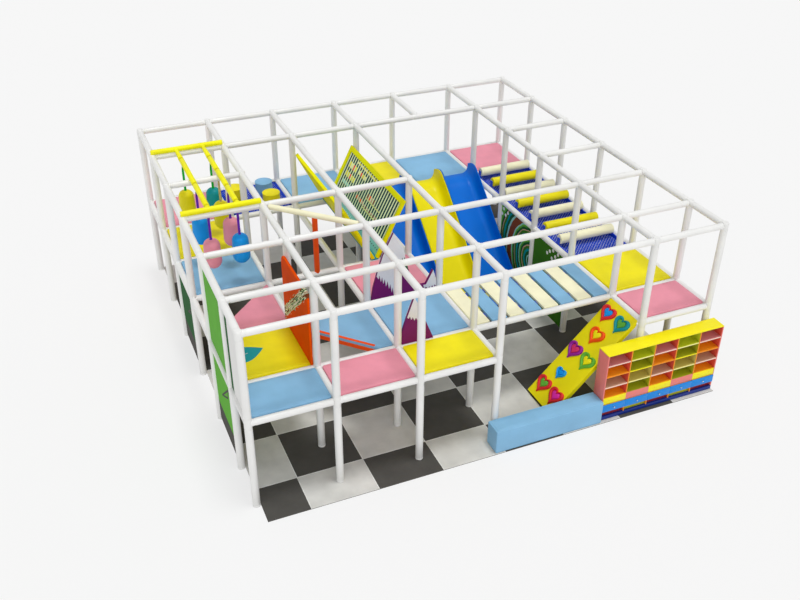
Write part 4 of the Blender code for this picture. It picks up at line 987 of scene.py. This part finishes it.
def make_net_wall(label, side, thick, slats, mesh, outer=None):
    """One leaning wall of the V: padded border, slats up the slope before a close woven mesh, a plain foot panel.

    Points are (up the slope, along the wall, out of it towards the middle of the V).
    """
    middle = (LINE_X[2] + LINE_X[3]) / 2
    foot = np.array([0.06, DECK_TOP + GAP])
    slope = np.array([BAY / 2 - 0.0553, 2.472]) - foot
    width = np.linalg.norm(slope)
    slope = slope / width
    front, back = ROW_Y[3] - 0.03, ROW_Y[5] + 0.03
    length = back - front
    origin = (middle + side * foot[0], front, foot[1])
    laid = origin, (side * slope[0], 0, slope[1]), (0, 1, 0), (-side * slope[1], 0, slope[0])
    shapes = []

    def add(points, faces, skin):
        shapes.append((turned_to(points, *laid), faces, skin))

    border, under = 0.09, 0.08
    rim = stuffed(0.0, thick, 0.001, 0.008, 0.026)
    for low, high in (
        ((width - border, 0), (width, length)),
        ((0, 0), (width - under, border)),
        ((0, length - border), (width - under, length)),
    ):
        # Borders in the lighter copy of the pad yellow: painted light
        add(*slab(rectangle(low, high), rim, cut=0.010, side=8), finish(matt_vinyl, "yellow_painted_lit"))
    panel_top = 0.28
    add(*board((0.0, under, 0.006), (panel_top, length - under, 0.028), finish(matt_vinyl, "pale_teal")))
    add(*board((panel_top - 0.01, 0.07, 0.010), (width - under, length - 0.07, 0.016), finish(webbing, mesh)))
    if outer:
        add(*board((0.0, 0.0, 0.0), (width - 0.01, length, 0.006), finish(matt_vinyl, outer)))
    count = 26
    pitch = (length - 2 * border) / count
    places = border + (np.arange(count) + 0.5) * pitch
    bow = 0.024 + 0.002 * np.sin(np.linspace(0, np.pi, 10))
    for at in places:
        path = np.column_stack([np.linspace(panel_top - 0.01, width - 0.075, 10), np.full(10, at), bow])
        add(*ribbon(path, (0, 1, 0), (0, 0, 1), 0.036, 0.010, 8), finish(matt_vinyl, slats))
        add(*bead(panel_top - 0.014, at), finish(vinyl, "white"))
    for at in np.arange(0.14, length - 0.12, 0.075):
        add(*bead(0.10, at), finish(vinyl, "white" if at > 0.95 else "mat_dark"))
    if side > 0:
        for low, high, start, end, colours in TILES:
            for turn, at in enumerate(p for p in places[:-1] if start < p + pitch / 2 < end):
                skin = finish(vinyl, colours[turn % len(colours)])
                add(*board((low, at + 0.010, 0.016), (high, at + pitch - 0.010, 0.027), skin))
        for up in (0.59, 0.42):
            weave = 0.031 + 0.001 * np.cos(np.arange(30) * np.pi)
            path = np.column_stack([np.full(30, up), np.linspace(0.58, 1.21, 30), weave])
            add(*ribbon(path, (1, 0, 0), (0, 0, 1), 0.022, 0.008, 8), finish(webbing, "pale_yellow"))
    else:
        strip = (middle - 0.075, front, DECK_TOP + GAP), (middle + 0.055, back, DECK_TOP + 0.0203)
        shapes.append(board(*strip, finish(vinyl, "teal")))
    piece(f"rope_wall_{label}", shapes, f"net_wall_{label}")


def bead(up, along):
    """A low round bead standing out of a net wall."""
    profile = [(0, 0), (0, 0.013), (0.004, 0.013), (0.007, 0.0078), (0.008, 0)]
    return round_bar((up, along, 0.026), (up, along, 1.028), profile, 10)


# ---------------------------------------------------------------- slides


def slide_floor():
    """Places down a lane as rows of (distance from its head, height, slope), closely spaced."""
    head_z, foot_z = DECK_TOP + 0.0203, 0.0323
    slope, top_r, foot_r = np.radians(40), 0.5, 1.0
    crest = np.linspace(0, slope, 14)
    rows = [np.column_stack([[0.0, 0.025], [head_z, head_z], [0.0, 0.0]])]
    rows.append(np.column_stack([0.05 + top_r * np.sin(crest), head_z - top_r * (1 - np.cos(crest)), crest]))
    y, z, _ = rows[-1][-1]
    drop = foot_r * (1 - np.cos(slope))
    straight = (z - foot_z - drop) / np.tan(slope)
    t = np.linspace(0, 1, 16)[1:-1]
    rows.append(np.column_stack([y + straight * t, z - straight * t * np.tan(slope), np.full(len(t), slope)]))
    middle = y + straight + foot_r * np.sin(slope)
    bend = np.linspace(slope, 0, 14)
    rows.append(np.column_stack([middle - foot_r * np.sin(bend), foot_z + foot_r * (1 - np.cos(bend)), bend]))
    rows.append(np.column_stack([middle + np.array([0.05, 0.10, 0.15]), [foot_z] * 3, [0.0] * 3]))
    return np.concatenate(rows)


def slide_section(wall):
    """Across and up of a lane's skin: inside from left rim to right rim, over the rim, and back outside."""
    half, shell = 0.362, 0.020
    inner = half - shell
    t = np.linspace(0, 1, 15)
    across = inner * (0.52 + 0.48 * np.sin(t * np.pi / 2) ** 0.8)
    rise = wall * t**2.3
    over = np.pi * np.linspace(0.2, 0.8, 4)
    rim = np.column_stack([inner + shell / 2 * (1 - np.cos(over)), wall + 0.008 * np.sin(over)])
    outside = np.column_stack([across + shell * (0.15 + 0.85 * t**0.5), rise - shell * (1 - t**0.6)])[::-1]
    right = np.concatenate([np.column_stack([across, rise]), rim, outside])
    return np.concatenate([right[::-1] * (-1, 1), right])


def make_slides():
    """Three moulded lanes with flared horns at their heads, each end closed between its inner and outer skin."""
    path = slide_floor()
    along = path[:, 0] / path[-1, 0]
    horn = 0.62 + 0.46 * np.exp(-(((path[:, 0] - 0.20) / 0.16) ** 2))
    horn = np.where(path[:, 0] > 0.20, np.maximum(horn, 0.96), horn)
    horn = horn * np.clip((1.0 - along) / 0.07, 0.40, 1.0) ** 0.5
    blue, yellow = moulded("slide_blue", "slide_plastic_blue"), moulded("slide_yellow", "slide_plastic_yellow")
    for k, skin in enumerate((blue, yellow, blue)):
        node = f"slide_lane_{k + 1}"
        _, high, middle = box(node)
        rings = []
        for (distance, z, slope), share in zip(path, horn):
            across, rise = slide_section(0.262 * share).T
            y = high[1] - distance - rise * np.sin(slope)
            rings.append(np.column_stack([middle[0] + across, y, z + rise * np.cos(slope)]))
        half = len(across) // 2
        shapes = [(np.stack(rings), joined_rings(len(rings), 2 * half), skin)]
        for ring in (rings[0], rings[-1]):
            right, left = ring[half:], ring[:half][::-1]
            inner = np.concatenate([left[:15][::-1], right[:15]])
            outer = np.concatenate([left[19:], right[19:][::-1]])
            shapes.append((np.stack([inner, outer]), joined_rings(2, len(inner), around=False), skin))
        piece(f"lane_{k + 1}", shapes, node, sharp=60)


# ---------------------------------------------------------------- ramp and bench


# Hearts: share of the way up, place across, width, colours of the middle and of the rim
HEARTS = (
    (0.13, -0.175, 0.31, "magenta", "red"), (0.13, 0.175, 0.31, "green", "red"),
    (0.29, 0.06, 0.21, "sky_blue", "sky_blue"), (0.50, -0.17, 0.31, "yellow", "green"),
    (0.50, 0.175, 0.31, "rose_red", "plum"), (0.70, 0.04, 0.31, "yellow", "orange"),
    (0.89, -0.175, 0.31, "green", "teal"), (0.89, 0.175, 0.31, "sky_blue", "red"),
)
# Rim and middle of a heart: share of the way out, height
HEART_RIM = (
    (1.04, -0.008), (1.04, 0.014), (1.01, 0.026), (0.93, 0.036), (0.82, 0.040), (0.71, 0.036), (0.64, 0.026),
    (0.59, 0.014), (0.56, -0.006), (1.04, -0.008),
)
HEART_FILL = (
    (0.0, -0.006), (0.58, -0.006), (0.57, 0.014), (0.53, 0.024), (0.42, 0.031), (0.23, 0.033), (0.0, 0.034),
)


def make_ramp():
    """The ramp: a stuffed slab along the slope, cut level at its foot, with raised two colour hearts."""
    low, high, centre = box("heart_ramp")
    turn = np.radians(45.5)
    up = np.array([np.cos(turn), 0, np.sin(turn)])
    out = np.array([-np.sin(turn), 0, np.cos(turn)])
    thick = 0.075
    head = np.array([high[0], centre[1], DECK_Z + 0.01])
    length = (head[2] - STAND_Z - thick * out[2]) / up[2]
    toe = head - up * length
    half = (high[1] - low[1]) / 2
    t = np.linspace(0, 1, 30)[:, None]
    upper = toe + t * length * up
    lower = (1 - t) * (toe - out * thick) + t * (head - (0, 0, thick / out[2]))
    edge = [(half, 0.012), (half, 0.004), (half - 0.004, 0.001), (half - 0.012, 0.0)]
    columns = [(-a, e) for a, e in edge] + [(s * half, 0.0) for s in np.linspace(-0.9, 0.9, 13)] + edge[::-1]
    grid = []
    for across, ease in columns:
        lift = 0.003 * (1 - (across / half) ** 2) - ease
        line = np.concatenate([upper + out * lift, (lower + out * ease)[::-1]])
        line[:, 1] = head[1] + across
        grid.append(line)
    grid = np.stack(grid)
    grid[:, :, 0] = np.minimum(grid[:, :, 0], high[0])
    grid[:, :, 2] = np.maximum(grid[:, :, 2], STAND_Z)
    skin = finish(vinyl, "yellow")
    shapes = [(grid, joined_rings(*grid.shape[:2]), skin)]
    for line in (grid[0], grid[-1]):
        shapes.append((np.stack([line[:30], line[30:][::-1]]), joined_rings(2, 30, around=False), skin))
    piece("ramp_pad", shapes, "heart_ramp")
    ring, middle = heart(56), np.array([0.0, 0.06])
    for k, (share, behind, width, fill, rim) in enumerate(HEARTS):
        place = toe + up * length * share + (0, behind, 0)
        shapes = []
        for rows, colour in ((HEART_RIM, rim), (HEART_FILL, fill)):
            points = stacked(ring, [(s, z / width) for s, z in rows], middle) * width
            points = turned_to(points, place, (0, -1, 0), up, out)
            shapes.append((points, joined_rings(len(rows), len(ring)), finish(vinyl, colour)))
        piece(f"climbing_heart_{k + 1}", shapes, sharp=70)


def make_bench():
    """The long block: stuffed box with rounded rims, a piped seam round its top and a soft dip where people sit."""
    low, high, _ = box("bench_block")
    profile = stuffed(low[2], high[2] - 0.008, 0.008, 0.016, 0.06)
    points, faces = slab(rectangle(low, high), profile, cut=0.020, side=30)
    share = (points[:, :, 0] - low[0]) / (high[0] - low[0])
    fade = np.array([0] * 11 + [0.3, 0.8, 1, 1, 1, 1])[:, None]
    for at, reach in ((0.3, 0.08), (0.68, 0.10)):
        points[:, :, 2] -= fade * 0.004 * np.exp(-(((share - at) / reach) ** 2))
    piece("bench_pad", [(points, faces, finish(vinyl, "light_blue"))], "bench_block")


# ---------------------------------------------------------------- shelf


# By column in turn: cubby linings from the top down, front edge, edge of the second shelf
LININGS = (("rose", "shelf_orange", "tan", "shelf_orange"), ("lime", "olive", "khaki", "olive"))
EDGES, SECOND_EDGES = ("blush", "pale_yellow"), ("shelf_orange", "shelf_yellow")
# Stud and knob: (distance outwards, radius)
STUD = ((0, 0), (0, 0.006), (0.0045, 0.006), (0.006, 0.003), (0.006, 0))
KNOB = (
    (0, 0), (0, 0.0075), (0.008, 0.0068), (0.012, 0.0105), (0.016, 0.012), (0.019, 0.010), (0.020, 0.004), (0.020, 0),
)


def make_shelf():
    """The shelf from boards: carcass, coloured cubby linings, front band, low recesses and plinth."""
    low, high, _ = box("shoe_shelf")
    (left, front, base), (right, back, head) = low, high
    thick = 0.018
    width = (right - left - 6 * thick) / 5
    low_row = base + 0.065
    drawer_row = low_row + 0.085 + thick
    band = drawer_row + 0.13
    first = band + 0.12
    pitch = (head - first) / 4
    inside = back - thick
    shapes = []

    def add(low, high, colour):
        shapes.append(board(low, high, finish(lacquer, colour)))

    add((left, front, head - thick), (right, back, head), "shelf_yellow")
    for x in (left, right - thick):
        add((x, front, low_row), (x + thick, back, head - thick), "salmon")
    add((left + 0.002, inside, base), (right - 0.002, back, head - thick), "shelf_yellow")
    add((left, front, base), (right, inside, low_row), "plinth_blue")
    for z in (low_row + 0.085, drawer_row + 0.112):
        add((left + thick, front + 0.001, z), (right - thick, inside, z + thick), "shelf_orange")
    for k in range(5):
        x, odd = left + thick + k * (width + thick), k % 2
        end = x + width
        if k:
            add((x - thick, front + 0.001, low_row), (x, inside, head - thick), "shelf_orange")
        near, far = (x - 0.5 * thick, front, band + 0.001), (end + 0.5 * thick, front + 0.016, first - 0.001)
        add(near, far, ("shelf_yellow", "salmon")[odd])
        for share in (0.25, 0.75):
            at, z = x + width * share, band + 0.07
            stud = round_bar((at, front + 0.004, z), (at, front - 1, z), STUD, 12)
            shapes.append((*stud, finish(lacquer, "shelf_orange")))
        add((x, front + 0.03, low_row), (end, inside, low_row + 0.085), ("wine", "olive")[odd])
        for row in range(4):
            z, colour = first + row * pitch, LININGS[odd][3 - row]
            top = z + pitch - thick
            if row < 3:
                add((x, front + 0.001, top), (end, inside, z + pitch), (SECOND_EDGES if row == 1 else EDGES)[odd])
            add((x, inside - 0.004, z), (end, inside, top), colour)
            add((x, front + 0.006, z), (x + 0.003, inside, top), colour)
            add((end - 0.003, front + 0.006, z), (end, inside, top), colour if odd else "warm_red")
            add((x, front + 0.006, z), (end, inside, z + 0.003), colour)
    piece("cubby_shelf", shapes, "shoe_shelf", sharp=30)


def make_drawers():
    """Each drawer: an eased front board, a tray of thin boards behind it and a turned knob."""
    blue = finish(lacquer, "drawer_blue")
    for k in range(5):
        node = f"shelf_drawer_{k + 1}"
        low, high, (x, _, z) = box(node)
        front, back = low[1] + 0.02, high[1]
        shapes = [board((low[0], front, low[2]), (high[0], front + 0.016, high[2]), blue)]
        left, right = low[0] + 0.012, high[0] - 0.012
        bottom, rim = low[2] + 0.013, high[2] - 0.023
        inner = front + 0.014
        for a, b in (
            ((left, inner, bottom), (right, back, bottom + 0.010)),
            ((left, inner, bottom), (left + 0.010, back, rim)),
            ((right - 0.010, inner, bottom), (right, back, rim)),
            ((left, back - 0.010, bottom), (right, back, rim)),
        ):
            shapes.append(board(a, b, blue, 0.002))
        shapes.append((*round_bar((x, front, z), (x, front - 1, z), KNOB), finish(brushed_metal, "silver")))
        piece(f"blue_drawer_{k + 1}", shapes, node, node, sharp=35)


# ---------------------------------------------------------------- mountains, wall, beam


FRONT_PEAKS = ((0, 0), (0.50, 0), (0.40, 0.25), (0.30, 0.52), (0.19, 0.76), (0.08, 0.45), (0, 0.2))
BACK_PEAKS = (
    (0, 0), (1.10, 0), (1.10, 0.16), (1.05, 0.35), (0.93, 0.12), (0.74, 0.12), (0.64, 0.42), (0.58, 0.62),
    (0.55, 0.82), (0.38, 1.14), (0.21, 0.80), (0.13, 0.57), (0.04, 0.25),
)


# Snow and shrub patches on the mountains: outlines in the plane of each mountain, from its lower left corner
FRONT_SNOW = (
    (0.19, 0.765), (0.078, 0.452), (0.10, 0.43), (0.12, 0.47), (0.14, 0.40), (0.165, 0.44), (0.19, 0.375),
    (0.215, 0.42), (0.24, 0.365), (0.265, 0.43), (0.29, 0.385), (0.305, 0.44), (0.325, 0.42), (0.333, 0.435),
    (0.302, 0.523),
)
BACK_SNOW = (
    (0.38, 1.145), (0.208, 0.80), (0.128, 0.57), (0.096, 0.455), (0.125, 0.40), (0.14, 0.47), (0.165, 0.345),
    (0.185, 0.43), (0.205, 0.30), (0.23, 0.38), (0.25, 0.24), (0.275, 0.33), (0.30, 0.185), (0.32, 0.27),
    (0.345, 0.11), (0.36, 0.20), (0.385, 0.02), (0.425, 0.02), (0.44, 0.20), (0.455, 0.10), (0.465, 0.42),
    (0.48, 0.36), (0.485, 0.66), (0.505, 0.58), (0.52, 0.70), (0.54, 0.61), (0.555, 0.70), (0.572, 0.66),
    (0.552, 0.825),
)
SIDE_SNOW = (
    (1.05, 0.355), (0.928, 0.118), (0.88, 0.118), (0.90, 0.05), (0.93, 0.08), (0.955, 0.02), (0.985, 0.07),
    (1.01, 0.03), (1.035, 0.08), (1.06, 0.03), (1.08, 0.09), (1.102, 0.04), (1.102, 0.165),
)
BACK_SHRUB = (
    (0.487, 0.655), (0.505, 0.58), (0.52, 0.70), (0.54, 0.61), (0.555, 0.70), (0.573, 0.65), (0.60, 0.56),
    (0.62, 0.47), (0.49, 0.45),
)


def cut_out(name, outline, depth, origin, skin, node=None):
    """A flat padded shape on edge: each face is one polygon cut into triangles, so that its outline may be hollow."""
    outline = np.asarray(outline, float)
    levels = ((0.988, 0.0), (1.0, 0.15 * depth), (1.0, 0.85 * depth), (0.988, depth))
    points = turned_to(stacked(outline, levels), origin, (1, 0, 0), UP, (0, 1, 0))
    count = len(outline)
    caps = [list(range(count))[::-1], list(range(3 * count, 4 * count))]
    mesh = bpy.data.meshes.new(name)
    mesh.from_pydata(points.tolist(), [], joined_rings(4, count).tolist() + caps)
    mesh.materials.append(skin)
    shown(mesh, node, BODY, 35)


def make_mountains():
    """Padded mountains, with snow of white vinyl sewn on both faces, its lower edge cut in a zigzag."""
    for number, peaks, patches in (
        (1, FRONT_PEAKS, ((FRONT_SNOW, "snow"),)),
        (2, BACK_PEAKS, ((BACK_SNOW, "snow"), (SIDE_SNOW, "snow"), (BACK_SHRUB, "dark_green"))),
    ):
        node = f"mountain_panel_{number}"
        low, high, _ = box(node)
        cut_out(f"mountain_{number}", peaks, 0.05, low, finish(vinyl, "purple"), node)
        for count, (patch, colour) in enumerate(patches):
            for face, y in (("front", low[1] - 0.004), ("back", high[1] - 0.001)):
                name = f"patch_{number}_{count + 1}_{face}"
                cut_out(name, patch, 0.005, (low[0], y, low[2]), finish(vinyl, colour))


def make_orange_wall():
    """The orange wall: a stuffed slab on edge with one round corner."""
    low, high, _ = box("orange_wall")
    turn = np.radians(np.linspace(0, 90, 7))
    corner = 0.15
    outline = [(low[1], low[2]), (high[1], low[2])]
    outline += [(high[1] - corner * (1 - np.cos(a)), high[2] - corner * (1 - np.sin(a))) for a in turn]
    outline.append((low[1], high[2]))
    profile = (
        (0.03, 0.0, 0.0015), (0.03, 0.6, 0.001), (0.03, 1.0, 0.001), (0.010, 1.0, 0.002), (0.002, 1.0, 0.008),
        (0.0, 1.0, 0.020), (0.002, 1.0, 0.032), (0.010, 1.0, 0.038), (0.03, 1.0, 0.039), (0.03, 0.6, 0.0395),
        (0.03, 0.0, 0.040),
    )
    points, faces = slab(outline, profile, cut=0.010, side=4)
    points = turned_to(points, (low[0], 0, 0), (0, 1, 0), UP, (1, 0, 0))
    piece("orange_wall_pad", [(points, faces, streaked_vinyl("orange"))], "orange_wall")


def make_beam():
    """The cream sleeve of the beam that crosses one bay at the top, clear of the posts at its ends."""
    clear = CLEAR + 0.0523 * np.sqrt(2)
    start = np.array([LINE_X[1], ROW_Y[3], TOP_Z])
    end = np.array([LINE_X[2], ROW_Y[2], TOP_Z])
    ahead = unit(end - start)
    bar = sleeve(start + ahead * clear, end - ahead * clear, 0.045, (), 0.010)
    piece("beam_sleeve", [(*bar, finish(vinyl, "cream"))], "cream_beam")


# ---------------------------------------------------------------- stage


def make_stage():
    """A plain pale floor, soft light from above and both sides, and the camera."""
    side = 60.0
    mesh = bpy.data.meshes.new("studio_floor")
    corners = [(-side, -side, -0.001), (side, -side, -0.001), (side, side, -0.001), (-side, side, -0.001)]
    mesh.from_pydata(corners, [], [(0, 1, 2, 3)])
    floor = bpy.data.objects.new("studio_floor", mesh)
    bpy.context.collection.objects.link(floor)
    material = bpy.data.materials.new("studio_floor")
    material.use_nodes = True
    shader = material.node_tree.nodes["Principled BSDF"]
    shader.inputs["Base Color"].default_value = (0.26, 0.26, 0.26, 1)
    shader.inputs["Roughness"].default_value = 0.9
    shader.inputs["Specular IOR Level"].default_value = 0.0
    shader.inputs["Emission Color"].default_value = (1.0, 1.0, 1.0, 1)
    shader.inputs["Emission Strength"].default_value = 0.66
    mesh.materials.append(material)
    world = bpy.data.worlds.new("studio")
    bpy.context.scene.world = world
    world.use_nodes = True
    background = world.node_tree.nodes["Background"]
    background.inputs["Color"].default_value = (1.0, 1.0, 1.0, 1)
    background.inputs["Strength"].default_value = 0.50
    for name, strength, spread, turn in (("key", 1.28, 14.0, (4, 7, 0)), ("fill", 0.72, 30.0, (52, -24, 0))):
        lamp = bpy.data.lights.new(name, "SUN")
        lamp.energy = strength
        lamp.angle = np.radians(spread)
        obj = bpy.data.objects.new(name, lamp)
        obj.rotation_euler = [np.radians(a) for a in turn]
        bpy.context.collection.objects.link(obj)
    camera = bpy.data.cameras.new("camera")
    camera.lens = 41.75
    camera.sensor_width = 36.0
    camera.clip_end = 200.0
    eye = bpy.data.objects.new("camera", camera)
    eye.location = (-5.474, -12.736, 9.236)
    eye.rotation_euler = [np.radians(a) for a in (57.54, -0.17, -22.91)]
    bpy.context.collection.objects.link(eye)
    bpy.context.scene.camera = eye
    bpy.context.scene.view_settings.view_transform = "Standard"


make_stage()
make_floor()
make_frame()
make_panels()
make_pads()
make_planks()
make_net_deck()
make_rollers()
make_gantry()
make_bags()
# Outer skin of the left wall in the lighter copy of the pad yellow: painted light
make_net_wall("left", -1, 0.060, "pale_teal", "pale_teal", "yellow_painted_lit")
make_net_wall("right", 1, 0.039, "cord_lime", "deep_teal")
make_slides()
make_ramp()
make_bench()
make_shelf()
make_drawers()
make_mountains()
make_orange_wall()
make_beam()
